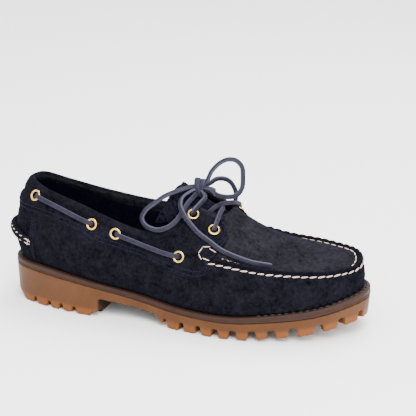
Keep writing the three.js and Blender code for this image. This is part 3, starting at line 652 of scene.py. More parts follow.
# The knot: two wraps of the lace round the crossing, and a tuck in front.
knotPieces = []
for number, (lean, offset, size) in enumerate(bow["wraps"], 1):
    angle = np.linspace(0, 2 * math.pi, bow["wrapSteps"])
    ring = np.stack([offset + lean * bow["wrapLean"] * size * np.sin(angle),
                     bow["wrapAcross"] * size * np.cos(angle),
                     bow["wrapHigh"] * size * np.sin(angle) - bow["wrapDrop"]], -1)
    ring[:, 0] += np.linspace(-0.5, 0.5, bow["wrapSteps"])
    ring = ring + knotMiddle
    facing = unit((ring - knotMiddle) * (0.0, 1.0, 1.0))
    knotPieces.append(laceMesh(f"laceKnotWrap{number}", ring, facing, laceLook["wrapHalf"]))
tuck = smoothPath(bow["tuck"], laceLook["step"])
knotPieces.append(laceMesh("laceKnotTuck", tuck, carriedFacing(tuck, (0, -0.5, 1)),
                           laceLook["tuckHalf"], cut=True))
for piece in knotPieces:
    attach(piece, "root")
    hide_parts("lace_knot")

for side in ("lateral", "medial"):
    rise = [*outOf(eyeletPlaces["throat_2_" + side], laceLook["overRise"]), *bow[side + "Rise"]]
    through = [knotMiddle + offset for offset in bow[side + "Through"]]
    declaredLace("laceEnd" + side.capitalize(), [*rise, *through, *bow[side + "End"]],
                 ["lace_rise_" + side, "lace_end_" + side])
    leaves, returns = [knotMiddle + offset for offset in bow[side + "LoopEnds"]]
    declaredLace("laceLoop" + side.capitalize(), [leaves, *bow[side + "Loop"], returns],
                 ["lace_loop_" + side])
print("bow laced")


# A lace pulled tight along the collar, from one eyelet to the next.
def collarRun(first, second):
    turns = np.linspace(first["turn"], second["turn"], 9)[1:-1]
    ups = np.linspace(first["up"], second["up"], 9)[1:-1]
    middle = upperPoint(turns, ups) + upperNormal(turns, ups) * laceLook["overCollar"]
    line = smoothPath([*outOf(first), *middle, *outOf(second)[::-1]], laceLook["step"])
    share = np.linspace(0, 1, len(line))
    turn = first["turn"] + share * (second["turn"] - first["turn"])
    up = first["up"] + share * (second["up"] - first["up"])
    return line, upperNormal(turn, up)


for side in ("lateral", "medial"):
    for label, first, second in (("rear", "collar_1_", "collar_2_"),
                                 ("front", "collar_3_", "collar_4_")):
        line, facing = collarRun(eyeletPlaces[first + side], eyeletPlaces[second + side])
        run = laceMesh("laceCollar" + label.capitalize() + side.capitalize(), line, facing,
                       laceLook["runHalf"])
        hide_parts(f"lace_{label}_{side}")
        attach(run, "root")
for label, side in (("low", "lateral"), ("high", "medial")):
    line = smoothPath([*outOf(eyeletPlaces["throat_1_" + side], laceLook["overThroat"]),
                       *throat[label]], laceLook["step"])
    bar = laceMesh("laceThroat" + label.capitalize(), line, carriedFacing(line, (0, 0, 1)),
                   laceLook["barHalf"])
    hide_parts("lace_crossing")
    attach(bar, "root")
print("laces run")

eyeletLook = {
    "bore": 3.05, "flange": 4.8, "lift": 0.1, "proud": 1.15, "depth": 1.3, "turns": 28,
    "barrel": 0.55, "below": 0.8,  # the barrel's wall, and how far it reaches on under the depth
    "hole": 3.6, "holeLong": 12.0, "sunk": 0.25,
}

# Each fold at the back of the heel is its height over the floor, its width and its depth.
upperDetail = {
    "around": 760, "pitch": 6.9, "scallop": 0.3, "groove": 0.95, "gather": 0.5,
    "roll": 1.7, "rollDepth": 3.6, "rollWidth": 3.0, "sag": 0.6,
    "seat": 0.35, "seatBelow": 4.6, "seatWidth": 1.1,  # the sunk line under the collar's roll
    "grooves": ((2.15, 0.085), (2.87, 0.08)),
    "footScallop": 1.7, "footBeat": 1.15, "footFrom": 118, "footTo": 242, "footFade": 14,
    "heelFolds": ((86, 3, 0.9), (91.5, 2.2, -1.2), (78.5, 2.2, -1.0)), "heelReach": 24,
    "innerRoll": (1.3, 3.4, 3.0), "innerSeat": (0.5, 8.2, 0.9), "lip": 1.1,
    "grooveShade": ((2.2, 0.13, 1.0), (2.82, 0.11, 0.9)), "flankShade": (2.33, 0.1),
    "footShade": 0.9, "deepest": 0.85,
    # Inside the collar, down to these depths, the lighter suede paints light on the shaded rim;
    # deeper lies the lining.
    "rollInside": (0.8, 9.0),  # how far down inside the collar its outer suede goes
}

denseTurns = np.linspace(0, 360, 1441)
seamLine = upperPoint(denseTurns, 2.0)
seamRun = lengthsAlong(seamLine)


def seamPhase(turn):
    return np.interp(np.asarray(turn) % 360, denseTurns, seamRun) / upperDetail["pitch"]


# How deep under the rim each place of the upper lies, in a table of every second degree.
rimTable = np.linspace(3, 5, 41)
rimPoints = upperPoint(denseTurns[::8][:, None], rimTable[None, :])
rimSteps = np.concatenate([np.linalg.norm(np.diff(rimPoints, axis=1), axis=2),
                           np.zeros((rimPoints.shape[0], 1))], 1)
rimDepths = np.flip(np.cumsum(np.flip(rimSteps, 1), 1), 1)


def rimRow(turn):
    return np.clip(np.round((np.asarray(turn) % 360) / 2).astype(int), 0, rimDepths.shape[0] - 1)


def upAtDepth(turn, depth):
    rows = rimRow(turn)
    depth = np.broadcast_to(depth, rows.shape)
    return np.array([np.interp(-d, -rimDepths[r], rimTable)
                     for r, d in zip(rows.ravel(), depth.ravel())]).reshape(rows.shape)


def depthAt(turn, up):
    turn, up = np.broadcast_arrays(np.asarray(turn, float), np.asarray(up, float))
    rows = rimRow(turn)
    share = np.clip((up - 3) / 2 * 40, 0, 40)
    low = np.clip(np.floor(share).astype(int), 0, 39)
    t = share - low
    table = rimDepths[rows, low] * (1 - t) + rimDepths[rows, low + 1] * t
    return table + np.clip(3 - up, 0, 9) * 12


def bump(value, middle, width):
    return np.exp(-(((value - middle) / width) ** 2))


# Soft creases: each a trough or a ridge between two places of the last, with its width and height.
creases = [
    ((176, -44.0, 47.0), (196, -48.0, 33.0), 5.0, -0.5),
    ((205, -20.0, 70.0), (214, 12.0, 69.0), 9.0, -0.6),
    ((222, -22.0, 62.0), (230, 16.0, 62.0), 10.0, 0.45),
    ((96, -37.0, 60.0), (86, -39.0, 44.0), 8.0, -0.6),
    ((60, -36.0, 62.0), (44, -34.0, 48.0), 9.0, 0.5),
    ((128, -38.0, 66.0), (112, -39.0, 44.0), 9.0, -0.55),
    ((8, -18.0, 70.0), (4, -14.0, 46.0), 6.0, -0.4),
    ((92, 36.0, 62.0), (84, 35.0, 44.0), 8.0, -0.6),
    ((130, 33.0, 64.0), (116, 33.0, 42.0), 9.0, 0.5),
    ((196, 34.0, 62.0), (206, 46.0, 36.0), 6.0, -0.5),
    ((250, -30.0, 52.0), (262, -4.0, 58.0), 8.0, -0.35),
]


def creaseAt(points):
    total = np.zeros(points.shape[:-1])
    for start, end, width, depth in creases:
        start, end = np.array(start), np.array(end)
        share = np.clip(((points - start) @ (end - start)) / ((end - start) @ (end - start)), 0, 1)
        off = np.linalg.norm(points - (start + share[..., None] * (end - start)), axis=-1)
        total += depth * np.exp(-((off / width) ** 2)) * (0.35 + 0.65 * np.sin(np.pi * share))
    x, y, z = points[..., 0], points[..., 1], points[..., 2]
    swell = (np.sin(x / 17 + z / 13) * np.sin(z / 15 + y / 21 + 1.3)
             + 0.6 * np.sin(x / 9.5 - z / 11 + 2.1) * np.sin(y / 12 + x / 31))
    return total + upperDetail["sag"] * 0.5 * swell


# The scallops at the foot of the upper are there round the toe only.
def footFront(turn):
    fade = upperDetail["footFade"]
    return (np.clip((turn - upperDetail["footFrom"]) / fade, 0, 1)
            * np.clip((upperDetail["footTo"] - turn) / fade, 0, 1))


def footBeat(turn):
    return np.abs(np.sin(np.pi * seamPhase(turn) * upperDetail["footBeat"]))


# How far the real surface stands off the last's: the ridge of the seam, its gathers, the rolled
# collar, the scallops at the foot, the folds at the heel and the creases.
def upperLift(turn, up):
    ridge = ridgeShare(turn)
    beat = np.abs(np.sin(np.pi * seamPhase(turn)))
    scallop = upperDetail["scallop"]
    lift = last["seamRidge"] * ridgeAt(turn, up) * (1 - scallop + scallop * beat)
    (lowUp, lowWidth), (highUp, highWidth) = upperDetail["grooves"]
    grooves = bump(up, lowUp, lowWidth) + bump(up, highUp, highWidth)
    lift -= upperDetail["groove"] * ridge * grooves * (1.25 - 0.55 * beat)
    puckerBelow = np.clip((up - 1.35) / 0.6, 0, 1) ** 2 * (up <= 2.1)  # on the wall
    puckerAbove = np.clip((3.32 - up) / 0.3, 0, 1) ** 2 * (up >= 2.9)  # on the plug
    lift += upperDetail["gather"] * ridge * (puckerBelow + puckerAbove) * (beat - 0.62)
    depth = depthAt(turn, up)
    roll = bump(depth, upperDetail["rollDepth"], upperDetail["rollWidth"])
    seat = bump(depth, upperDetail["rollDepth"] + upperDetail["seatBelow"],
                upperDetail["seatWidth"])
    lift += upperDetail["roll"] * roll - upperDetail["seat"] * seat
    base = upperPoint(turn, up)
    calm = 1 - np.clip(bump(up, 2.5, 0.9) * ridge, 0, 1)  # no crease crosses the seam
    footing = np.clip(up / 0.5, 0, 1)  # nor the foot
    lift += (upperDetail["footScallop"] * footFront(turn) * bump(up, 0.07, 0.12)
             * (footBeat(turn) - 0.5))
    heelTurn = np.minimum(turn % 360, 360 - turn % 360)
    folds = sum(deep * bump(base[..., 2], height, width)
                for height, width, deep in upperDetail["heelFolds"])
    lift += bump(heelTurn, 0, upperDetail["heelReach"]) * folds
    return lift + creaseAt(base) * calm * footing


def upperSurface(turn, up, extra=0.0):
    turn, up = np.broadcast_arrays(np.asarray(turn, float), np.asarray(up, float))
    return upperPoint(turn, up) + upperNormal(turn, up) * (upperLift(turn, up) + extra)[..., None]


evenRun = np.linspace(0, seamRun[-1], upperDetail["around"] + 1)[:-1]
turnGrid = np.interp(evenRun, seamRun, denseTurns)
outerUps = np.concatenate([
    np.linspace(0, 1.3, 12, endpoint=False), np.linspace(1.3, 1.9, 9, endpoint=False),
    np.linspace(1.9, 3.1, 27, endpoint=False), np.linspace(3.1, 4, 12, endpoint=False),
    np.linspace(4, 5, 15)])
innerUps = np.concatenate([np.linspace(5, 4, 14), np.linspace(4, 2.2, 10)[1:],
                           np.linspace(2.2, 0, 8)[1:]])
outer = upperSurface(turnGrid[:, None], outerUps[None, :])
innerBase = upperPoint(turnGrid[:, None], innerUps[None, :])
innerNormal = upperNormal(turnGrid[:, None], innerUps[None, :])
innerDepth = depthAt(turnGrid[:, None], innerUps[None, :])
(rollHigh, *rollPlace), (seatDeep, *seatPlace) = upperDetail["innerRoll"], upperDetail["innerSeat"]
innerRoll = rollHigh * bump(innerDepth, *rollPlace) - seatDeep * bump(innerDepth, *seatPlace)
inner = innerBase - innerNormal * (last["wall"] + innerRoll)[..., None]
inner[:, -1, 2] = outer[:, 0, 2]
lip = (outer[:, -1] + inner[:, 0]) / 2 + np.array([0, 0, upperDetail["lip"]])
rings = np.concatenate([outer, lip[:, None], inner], 1)[:, ::-1]
columns = rings.shape[1]
upper = meshObject("upper", rings.reshape(-1, 3),
                   gridFaces(upperDetail["around"], columns, True, True))

# Painted shade: darker in the seam's grooves, on the flank between its stitches and at the foot.
ridgeColumn = ridgeShare(turnGrid)[:, None]
seamWave = np.pi * seamPhase(turnGrid)[:, None]
grooveShade = sum(dark * bump(outerUps, up, width)
                  for up, width, dark in upperDetail["grooveShade"])
shadeOuter = ridgeColumn * grooveShade[None, :] * (1 - 0.5 * np.abs(np.sin(seamWave)))
flankUp, flankWidth = upperDetail["flankShade"]
flank = bump(outerUps, flankUp, flankWidth)[None, :] * (0.35 + 0.65 * np.cos(seamWave) ** 2)
shadeOuter = shadeOuter + flank * ridgeColumn
footReach = 0.12 + 0.1 * (footFront(turnGrid) * (1 - footBeat(turnGrid)) ** 1.5)[:, None]
footShade = np.clip(1.4 - 1.4 * outerUps[None, :] / footReach, 0, 1)
shadeOuter = shadeOuter + upperDetail["footShade"] * footShade
shadeInner = np.zeros((len(turnGrid), len(innerUps) + 1))
upperShade = np.concatenate([shadeOuter, shadeInner], 1)[:, ::-1]
setAttribute(upper, "shade", np.clip(upperShade, 0, 1) * upperDetail["deepest"])

# Wall, lining and a lighter, greyer copy of the suede: on the plug, its own piece, it is partly
# painted top light; the collar's roll is of this painted-light suede inside and out.
for material in (suede, lining, paintedLightSuede):
    upper.data.materials.append(material)
rollFrom, rollTo = upperDetail["rollInside"]
outerSlots = np.where((ridgeColumn > 0.05) & (outerUps > 2.9)[None, :], 2, 0)
innerSlots = np.where(innerDepth > rollTo, 1, np.where(innerDepth > rollFrom, 2, 0))
lipSlots = np.zeros((len(turnGrid), 1), int)
slots = np.concatenate([outerSlots, lipSlots, innerSlots], 1)[:, ::-1]
upper.data.polygons.foreach_set("material_index", slots.reshape(-1))

holeTool = bmesh.new()
for place in eyeletPlaces.values():
    turned = Vector(place["normal"]).to_track_quat("Z", "Y").to_matrix().to_4x4()
    reach = eyeletLook["holeLong"] / 2 - eyeletLook["depth"]
    turned.translation = Vector(placed(place["point"] + place["normal"] * reach))
    bmesh.ops.create_cone(holeTool, cap_ends=True, segments=20, radius1=eyeletLook["hole"] / 1000,
                          radius2=eyeletLook["hole"] / 1000, depth=eyeletLook["holeLong"] / 1000,
                          matrix=turned)
holeMesh = bpy.data.meshes.new("holeTool")
holeTool.to_mesh(holeMesh)
holeTool.free()
holes = bpy.data.objects.new("holeTool", holeMesh)
scene.collection.objects.link(holes)


def cutBy(thing, tool):
    cut = thing.modifiers.new("cut", "BOOLEAN")
    cut.operation = "DIFFERENCE"
    cut.solver = "EXACT"
    cut.object = tool
    applied(thing)


cutBy(upper, holes)
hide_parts("upper")
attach(upper, "root")
print("upper made", len(upper.data.polygons))

searchTurns = np.linspace(0, 360, 361)
searchUps = np.linspace(0, 5, 126)
searchPoints = upperPoint(searchTurns[:, None], searchUps[None, :])


# The turn and the up of the place on the upper that lies nearest to a point. For the inner side
# the outer side's points are mirrored, and what lies on the wrong side is pushed far off.
def placeOnUpper(point, medial=False):
    off = searchPoints - np.array(point, float)
    if medial:
        off[..., 1] = 0.4 * (np.abs(searchPoints[..., 1]) - abs(point[1]))
        off[:180] += 500
    else:
        off[181:] += 500
    row, column = np.unravel_index(np.argmin((off**2).sum(-1)), off.shape[:2])
    return float(searchTurns[row]), float(searchUps[column])


# The collar band's free edge from the throat, round its front corner and back to the heel,
# each place with the turn of the rim above it.
bandEdge = [
    (183.5, -12.5, 88.0, 114), (187.5, -17.5, 84.5, 111), (190.5, -22.5, 79.5, 108),
    (192, -27, 74.5, 105), (191.5, -31.5, 69.5, 102), (188, -37, 63.0, 99.5),
    (184, -41.5, 57.0, 97), (181.5, -44, 51.0, 95), (179, -45.5, 46.4, 93.5),
    (173, -45.6, 44.2, 92), (163, -44.5, 44.9, 90), (148, -43, 47.6, 86), (124, -41, 54.3, 79),
    (103.6, -39.5, 58.4, 72), (90, -38, 60.7, 66.5), (79, -36.5, 65.0, 61.5), (66, -35, 69.5, 56),
    (51, -33, 73.2, 48.5), (25, -26, 76.8, 33), (8, -16, 77.6, 18), (1.5, 0, 77.8, 0),
]
panelLook = {"thick": 1.35, "edge": 1.0, "step": 1.3, "across": 50, "sunk": 0.12, "under": 0.45,
             "fromRim": 6.6, "rows": (2.0, 4.4), "rowEnds": 6, "rowLift": 0.02}


# A sheet laid on the upper between a low and a high edge, with its own edges rounded down.
def panelMesh(name, lowTurn, lowUp, highTurn, highUp, thick):
    count = panelLook["across"]
    share = 0.5 - 0.5 * np.cos(np.pi * np.linspace(0, 1, count))
    turn = lowTurn[:, None] + (highTurn - lowTurn)[:, None] * share
    up = lowUp[:, None] + (highUp - lowUp)[:, None] * share
    flat = upperSurface(turn, up)
    toLow = np.linalg.norm(flat - flat[:, :1], axis=-1)
    toHigh = np.linalg.norm(flat - flat[:, -1:], axis=-1)
    run = lengthsAlong(flat[:, count // 2])
    near = np.minimum(np.minimum(toLow, toHigh), np.minimum(run, run[-1] - run)[:, None])
    rise = thick * np.sqrt(np.clip(1 - (1 - np.clip(near / panelLook["edge"], 0, 1)) ** 2, 0, 1))
    normal = upperNormal(turn, up)
    top = flat + normal * (rise - panelLook["sunk"])[..., None]
    under = flat - normal * panelLook["under"]
    rows = np.concatenate([top, under[:, ::-1]], 1)
    faces = gridFaces(rows.shape[0], rows.shape[1], loopColumns=True)
    faces += capFaces(0, rows.shape[1]) + capFaces(rows.shape[0] - 1, rows.shape[1], True)
    panel = outward(meshObject(name, rows.reshape(-1, 3), faces))
    panel.data.materials.append(suede)
    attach(panel, "root")
    return panel


lateralPlaces = [placeOnUpper(row[:3]) for row in bandEdge]
medialPlaces = [placeOnUpper(row[:3], True) for row in bandEdge[:-1]]
bandPlaces = lateralPlaces + [(turn - 360, up) for turn, up in medialPlaces[::-1]]
lowTurns, lowUps = zip(*bandPlaces)
rimTurns = [row[3] for row in bandEdge] + [-row[3] for row in bandEdge[-2::-1]]
lowTurns, lowUps, rimTurns = (np.array(row, float) for row in (lowTurns, lowUps, rimTurns))
bandRun = lengthsAlong(upperPoint(lowTurns, lowUps))
bandAt = np.linspace(0, bandRun[-1], int(bandRun[-1] / panelLook["step"]))
bandLowTurn, bandLowUp, bandRim = (curveOf(bandRun, row)(bandAt)
                                   for row in (lowTurns, lowUps, rimTurns))
bandHighUp = upAtDepth(bandRim, panelLook["fromRim"])
collarBand = panelMesh("collarBand", bandLowTurn, bandLowUp, bandRim, bandHighUp,
                       panelLook["thick"])

# The back piece round the heel, under the band.
counterLook = {"x": 26.0, "steps": 90, "thick": 0.6, "foot": 0.02, "underBand": 0.05,
               "seamFrom": 0.25, "seamTo": 1.95, "seamSteps": 60, "rows": (1.6, 3.6),
               "turnEach": 0.55}  # degrees to a millimetre
counterTurn = float(turnsAt(counterLook["x"]))
counterTurns = np.linspace(counterTurn, -counterTurn, counterLook["steps"])
counterTop = np.interp(counterTurns, np.sort(bandLowTurn), bandLowUp[np.argsort(bandLowTurn)])
panelMesh("heelCounter", counterTurns, np.full(counterLook["steps"], counterLook["foot"]),
          counterTurns, counterTop + counterLook["underBand"], counterLook["thick"])
print("panels made")

# Every row of stitches, in millimetres: the pitch, one stitch's length, width and height, how far
# it leans in radians, and the seed of its unevenness.
stitchRows = {
    "mocSeamOuter": (6.9, 6.3, 1.3, 1.2, 0.14, 3),
    "mocSeamInner": (6.9, 6.7, 1.1, 0.95, -0.06, 4),
    "mocSeamBox": (5.4, 6.6, 1.0, 0.95, 0.0, 7),
    "bandStitches": (2.6, 2.5, 0.75, 0.5, 0.12, 5),
    "counterStitches": (2.6, 2.5, 0.7, 0.5, 0.1, 6),
    "heelRollStitches": (5.4, 3.0, 0.95, 0.8, 0.3, 8),
    "heelRollKnots": (2.6, 2.8, 0.9, 0.8, 0.0, 11),
    "soleStitches": (5.4, 4.0, 1.9, 1.5, 0.0, 9),
}


# One stretched ball a stitch along each line, lying in the line and facing its outward attribute.
def stitchTree():
    tree, given, out = newTree("stitchRow", "GeometryNodeTree", [
        ("Geometry", "NodeSocketGeometry", None),
        ("Pitch", "NodeSocketFloat", 0.0055),
        ("Stitch Length", "NodeSocketFloat", 0.005),
        ("Thread Width", "NodeSocketFloat", 0.0012),
        ("Thread Height", "NodeSocketFloat", 0.0009),
        ("Slant", "NodeSocketFloat", 0.1),
        ("Seed", "NodeSocketInt", 0),
        ("Material", "NodeSocketMaterial", None),
    ], [("Geometry", "NodeSocketGeometry")])
    curve = addNode(tree, "GeometryNodeMeshToCurve", {"Mesh": given["Geometry"]})["Curve"]
    spread = addNode(tree, "GeometryNodeResampleCurve", {
        "Curve": curve, "Length": given["Pitch"]}, mode="LENGTH")["Curve"]
    ball = addNode(tree, "GeometryNodeMeshUVSphere", {
        "Segments": 8, "Rings": 7, "Radius": 0.5})["Mesh"]
    size = addNode(tree, "ShaderNodeCombineXYZ", {
        "X": given["Stitch Length"], "Y": given["Thread Width"],
        "Z": given["Thread Height"]})["Vector"]
    lying = addNode(tree, "GeometryNodeTransform", {
        "Geometry": ball, "Rotation": (0, math.pi / 2, 0)})["Geometry"]
    stitch = addNode(tree, "GeometryNodeTransform", {"Geometry": lying, "Scale": size})["Geometry"]
    tangent = addNode(tree, "GeometryNodeInputTangent", {})["Tangent"]
    facing = addNode(tree, "GeometryNodeInputNamedAttribute", {"Name": "outward"},
                     data_type="FLOAT_VECTOR")["Attribute"]
    along = addNode(tree, "FunctionNodeAlignRotationToVector", {"Vector": tangent},
                    axis="X")["Rotation"]
    standing = addNode(tree, "FunctionNodeAlignRotationToVector", {
        "Rotation": along, "Vector": facing}, axis="Z", pivot_axis="X")["Rotation"]
    wobble = addNode(tree, "FunctionNodeRandomValue", {
        2: -0.05, 3: 0.05, "Seed": given["Seed"]}, data_type="FLOAT")[1]
    angles = addNode(tree, "ShaderNodeCombineXYZ", {
        "Z": mathNode(tree, "ADD", given["Slant"], wobble)})["Vector"]
    lean = addNode(tree, "FunctionNodeEulerToRotation", {"Euler": angles})["Rotation"]
    turned = addNode(tree, "FunctionNodeRotateRotation", {
        "Rotation": standing, "Rotate By": lean}, rotation_space="LOCAL")["Rotation"]
    vary = addNode(tree, "FunctionNodeRandomValue", {
        2: 0.93, 3: 1.05, "Seed": given["Seed"]}, data_type="FLOAT")[1]
    laid = addNode(tree, "GeometryNodeInstanceOnPoints", {
        "Points": spread, "Instance": stitch, "Rotation": turned, "Scale": vary})["Instances"]
    real = addNode(tree, "GeometryNodeRealizeInstances", {"Geometry": laid})["Geometry"]
    soft = addNode(tree, "GeometryNodeSetShadeSmooth", {"Geometry": real})["Geometry"]
    dressed = addNode(tree, "GeometryNodeSetMaterial", {
        "Geometry": soft, "Material": given["Material"]})["Geometry"]
    tree.links.new(dressed, out["Geometry"])
    return tree


stitches = stitchTree()


# Points or lines, each point with the way it faces, turned into what a tree makes of them.
def grown(name, verts, edges, facing, tree, values, material):
    mesh = bpy.data.meshes.new(name)
    mesh.from_pydata(verts, edges, [])
    layer = mesh.attributes.new("outward", "FLOAT_VECTOR", "POINT")
    layer.data.foreach_set("vector", np.asarray(facing, np.float32).ravel())
    thing = bpy.data.objects.new(name, mesh)
    scene.collection.objects.link(thing)
    growing = thing.modifiers.new("growing", "NODES")
    growing.node_group = tree
    sockets = {item.name: item.identifier for item in tree.interface.items_tree
               if item.item_type == "SOCKET" and item.in_out == "INPUT"}
    for label, value in {**values, "Material": material}.items():
        growing[sockets[label]] = value
    applied(thing)
    thing.data.materials.clear()
    thing.data.materials.append(material)
    return thing


def sewnRow(name, lines, thread):
    pitch, length, width, height, slant, seed = stitchRows[name]
    verts, edges, normals = [], [], []
    for line, normal in lines:
        start = len(verts)
        verts += placed(line).tolist()
        normals += np.asarray(normal).tolist()
        edges += [(start + k, start + k + 1) for k in range(len(line) - 1)]
    row = grown(name, verts, edges, normals, stitches, {
        "Pitch": pitch / 1000, "Stitch Length": length / 1000, "Thread Width": width / 1000,
        "Thread Height": height / 1000, "Slant": slant, "Seed": seed}, thread)
    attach(row, "root")
    return row


def onUpper(turns, ups, lift):
    turns, ups = np.asarray(turns, float), np.asarray(ups, float)
    return upperSurface(turns, ups, lift), upperNormal(turns, ups)


# The outer row lies on the wall and the inner one on the plug, where the near half sinks into the
# fold; the boxes close both rows at their ends.
mocSeam = {
    "rear": 103.2, "farRear": 258.0, "outerUp": 2.05, "innerUp": 2.96, "steps": 900,
    "innerSteps": 860, "innerShort": (4, 3), "outerLift": 0.45, "innerLift": 0.25,
    "innerHidden": 0.9, "hiddenTo": 171, "hiddenFade": 8, "boxLift": 0.35,
    "boxTurns": (102.9, 101.3, 99.9, 98.6, 98.3, 99.3, 101.2),
    "boxUps": (3.2, 3.28, 3.26, 3.1, 2.82, 2.5, 2.3), "boxSteps": 60, "farBox": 361.5,
}
seamTurns = np.linspace(mocSeam["rear"], mocSeam["farRear"], mocSeam["steps"])
outerSeam = onUpper(seamTurns, np.full(mocSeam["steps"], mocSeam["outerUp"]), mocSeam["outerLift"])
shortNear, shortFar = mocSeam["innerShort"]
innerTurns = np.linspace(mocSeam["rear"] + shortNear, mocSeam["farRear"] - shortFar,
                         mocSeam["innerSteps"])
innerHidden = mocSeam["innerHidden"] * np.clip(
    (mocSeam["hiddenTo"] - innerTurns) / mocSeam["hiddenFade"], 0, 1)
innerSeam = onUpper(innerTurns, np.full(len(innerTurns), mocSeam["innerUp"]),
                    mocSeam["innerLift"] - innerHidden)
boxTurns, boxUps = (curveOf(range(7), mocSeam[name])(np.linspace(0, 6, mocSeam["boxSteps"]))
                    for name in ("boxTurns", "boxUps"))
boxSeam, farBox = (onUpper(turns, boxUps, panelLook["thick"] + mocSeam["boxLift"])
                   for turns in (boxTurns, mocSeam["farBox"] - boxTurns))
sewnRow("mocSeamOuter", [outerSeam], creamThread)
sewnRow("mocSeamInner", [innerSeam], creamThread)
sewnRow("mocSeamBox", [boxSeam, farBox], creamThread)

rows = []
for depth in panelLook["rows"]:
    share = np.array([depth / max(np.linalg.norm(upperPoint(a, b) - upperPoint(c, d)), 6)
                      for a, b, c, d in zip(bandLowTurn, bandLowUp, bandRim, bandHighUp)])
    turn = bandLowTurn + (bandRim - bandLowTurn) * share
    up = bandLowUp + (bandHighUp - bandLowUp) * share
    kept = slice(panelLook["rowEnds"], -panelLook["rowEnds"])
    rows.append(onUpper(turn[kept], up[kept], panelLook["thick"] + panelLook["rowLift"]))
sewnRow("bandStitches", rows, darkThread)
rows = []
for sign in (1, -1):
    for back in counterLook["rows"]:
        turn = sign * (counterTurn - back * counterLook["turnEach"])
        ups = np.linspace(counterLook["seamFrom"], counterLook["seamTo"], counterLook["seamSteps"])
        rows.append(onUpper(np.full(len(ups), turn), ups,
                            counterLook["thick"] + panelLook["rowLift"]))
sewnRow("counterStitches", rows, darkThread)
print("seams sewn")


# One eyelet on its own axis: a barrel with a rolled flange.
def eyeletShape():
    look = eyeletLook
    low, high = look["lift"], look["lift"] + look["proud"]
    middle = (look["bore"] + look["flange"]) / 2
    half = (look["flange"] - look["bore"]) / 2
    barrel, below = look["bore"] + look["barrel"], -look["depth"] - look["below"]
    profile = [(look["bore"], below)]
    for angle in np.linspace(180, 0, 11):
        profile.append((middle + half * math.cos(math.radians(angle)),
                        low + 0.5 + (high - low - 0.5) * math.sin(math.radians(angle))))
    profile += [(look["flange"], low), (barrel, low - 0.1), (barrel, below)]
    profile = np.array(profile) / 1000
    angles = np.linspace(0, 2 * math.pi, look["turns"], endpoint=False)
    rings = np.stack([np.cos(angles)[:, None] * profile[:, 0],
                      np.sin(angles)[:, None] * profile[:, 0],
                      np.broadcast_to(profile[:, 1], (len(angles), len(profile)))], -1)
    mesh = bpy.data.meshes.new("eyeletShape")
    mesh.from_pydata(rings.reshape(-1, 3).tolist(), [],
                     gridFaces(len(angles), len(profile), True, True))
    mesh.polygons.foreach_set("use_smooth", [True] * len(mesh.polygons))
    shape = bpy.data.objects.new("eyeletShape", mesh)
    scene.collection.objects.link(shape)
    return outward(shape)


def rivetTree():
    tree, given, out = newTree("setEyelets", "GeometryNodeTree", [
        ("Geometry", "NodeSocketGeometry", None),
        ("Eyelet", "NodeSocketObject", None),
        ("Size", "NodeSocketFloat", 1.0),
        ("Material", "NodeSocketMaterial", None),
    ], [("Geometry", "NodeSocketGeometry")])
    eyelet = addNode(tree, "GeometryNodeObjectInfo", {"Object": given["Eyelet"]})["Geometry"]
    points = addNode(tree, "GeometryNodeMeshToPoints", {"Mesh": given["Geometry"]})["Points"]
    facing = addNode(tree, "GeometryNodeInputNamedAttribute", {"Name": "outward"},
                     data_type="FLOAT_VECTOR")["Attribute"]
    standing = addNode(tree, "FunctionNodeAlignRotationToVector", {"Vector": facing},
                       axis="Z")["Rotation"]
    laid = addNode(tree, "GeometryNodeInstanceOnPoints", {
        "Points": points, "Instance": eyelet, "Rotation": standing,
        "Scale": given["Size"]})["Instances"]
    real = addNode(tree, "GeometryNodeRealizeInstances", {"Geometry": laid})["Geometry"]
    dressed = addNode(tree, "GeometryNodeSetMaterial", {
        "Geometry": real, "Material": given["Material"]})["Geometry"]
    tree.links.new(dressed, out["Geometry"])
    return tree


shape = eyeletShape()
eyeletSeats = []
for place in eyeletPlaces.values():
    lift = float(upperLift(np.array(place["turn"]), np.array(place["up"])))
    seat = lift + panelLook["thick"] - eyeletLook["sunk"]
    eyeletSeats.append(place["point"] + place["normal"] * seat)
eyelets = grown("eyelets", placed(eyeletSeats).tolist(), [],
                [place["normal"] for place in eyeletPlaces.values()], rivetTree(),
                {"Eyelet": shape}, brass)
for name in eyeletPlaces:
    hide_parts("eyelet_" + name)
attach(eyelets, "root")
cutBy(collarBand, holes)
bpy.data.objects.remove(shape)
bpy.data.objects.remove(holes)
print("eyelets set")

# The roll's ends taper; each end is held by three stitches, from and to places beside its middle.
heelRoll = {
    "spread": 33.0, "middleUp": 1.36, "endUp": 1.06, "radius": 3.1, "end": 1.0, "steps": 90,
    "sides": 28, "seated": 0.82, "flatter": 1.25, "thread": 1.08, "knotLift": 1.9,
    "knots": (((-1.6, -1.0), (-1.3, 1.4)), ((1.5, -1.1), (1.3, 1.6)), ((-1.5, 0.3), (1.5, 0.2))),
}
rollShare = np.linspace(-1, 1, heelRoll["steps"])
rollTurns = rollShare * heelRoll["spread"]
rollUps = heelRoll["middleUp"] + (heelRoll["endUp"] - heelRoll["middleUp"]) * rollShare**2
rollBase = upperSurface(rollTurns, rollUps)
rollNormal = upperNormal(rollTurns, rollUps)
rollFull = np.sqrt(np.clip(1 - rollShare**4, 0, 1))
rollRadius = heelRoll["end"] + (heelRoll["radius"] - heelRoll["end"]) * rollFull
rollLine = rollBase + rollNormal * (rollRadius * heelRoll["seated"])[:, None]
along = unit(np.gradient(rollLine, axis=0))
rollSide = unit(np.cross(along, rollNormal))
sides = heelRoll["sides"]
angles = np.linspace(0, 2 * math.pi, sides, endpoint=False)
ringOut = np.cos(angles)
ringSide = np.sin(angles) * heelRoll["flatter"]
rollRings = rollLine[:, None] + rollRadius[:, None, None] * (
    rollNormal[:, None] * ringOut[None, :, None] + rollSide[:, None] * ringSide[None, :, None])
faces = gridFaces(heelRoll["steps"], sides, loopColumns=True)
faces.append(list(range(sides)))
faces.append([(heelRoll["steps"] - 1) * sides + k for k in range(sides)])
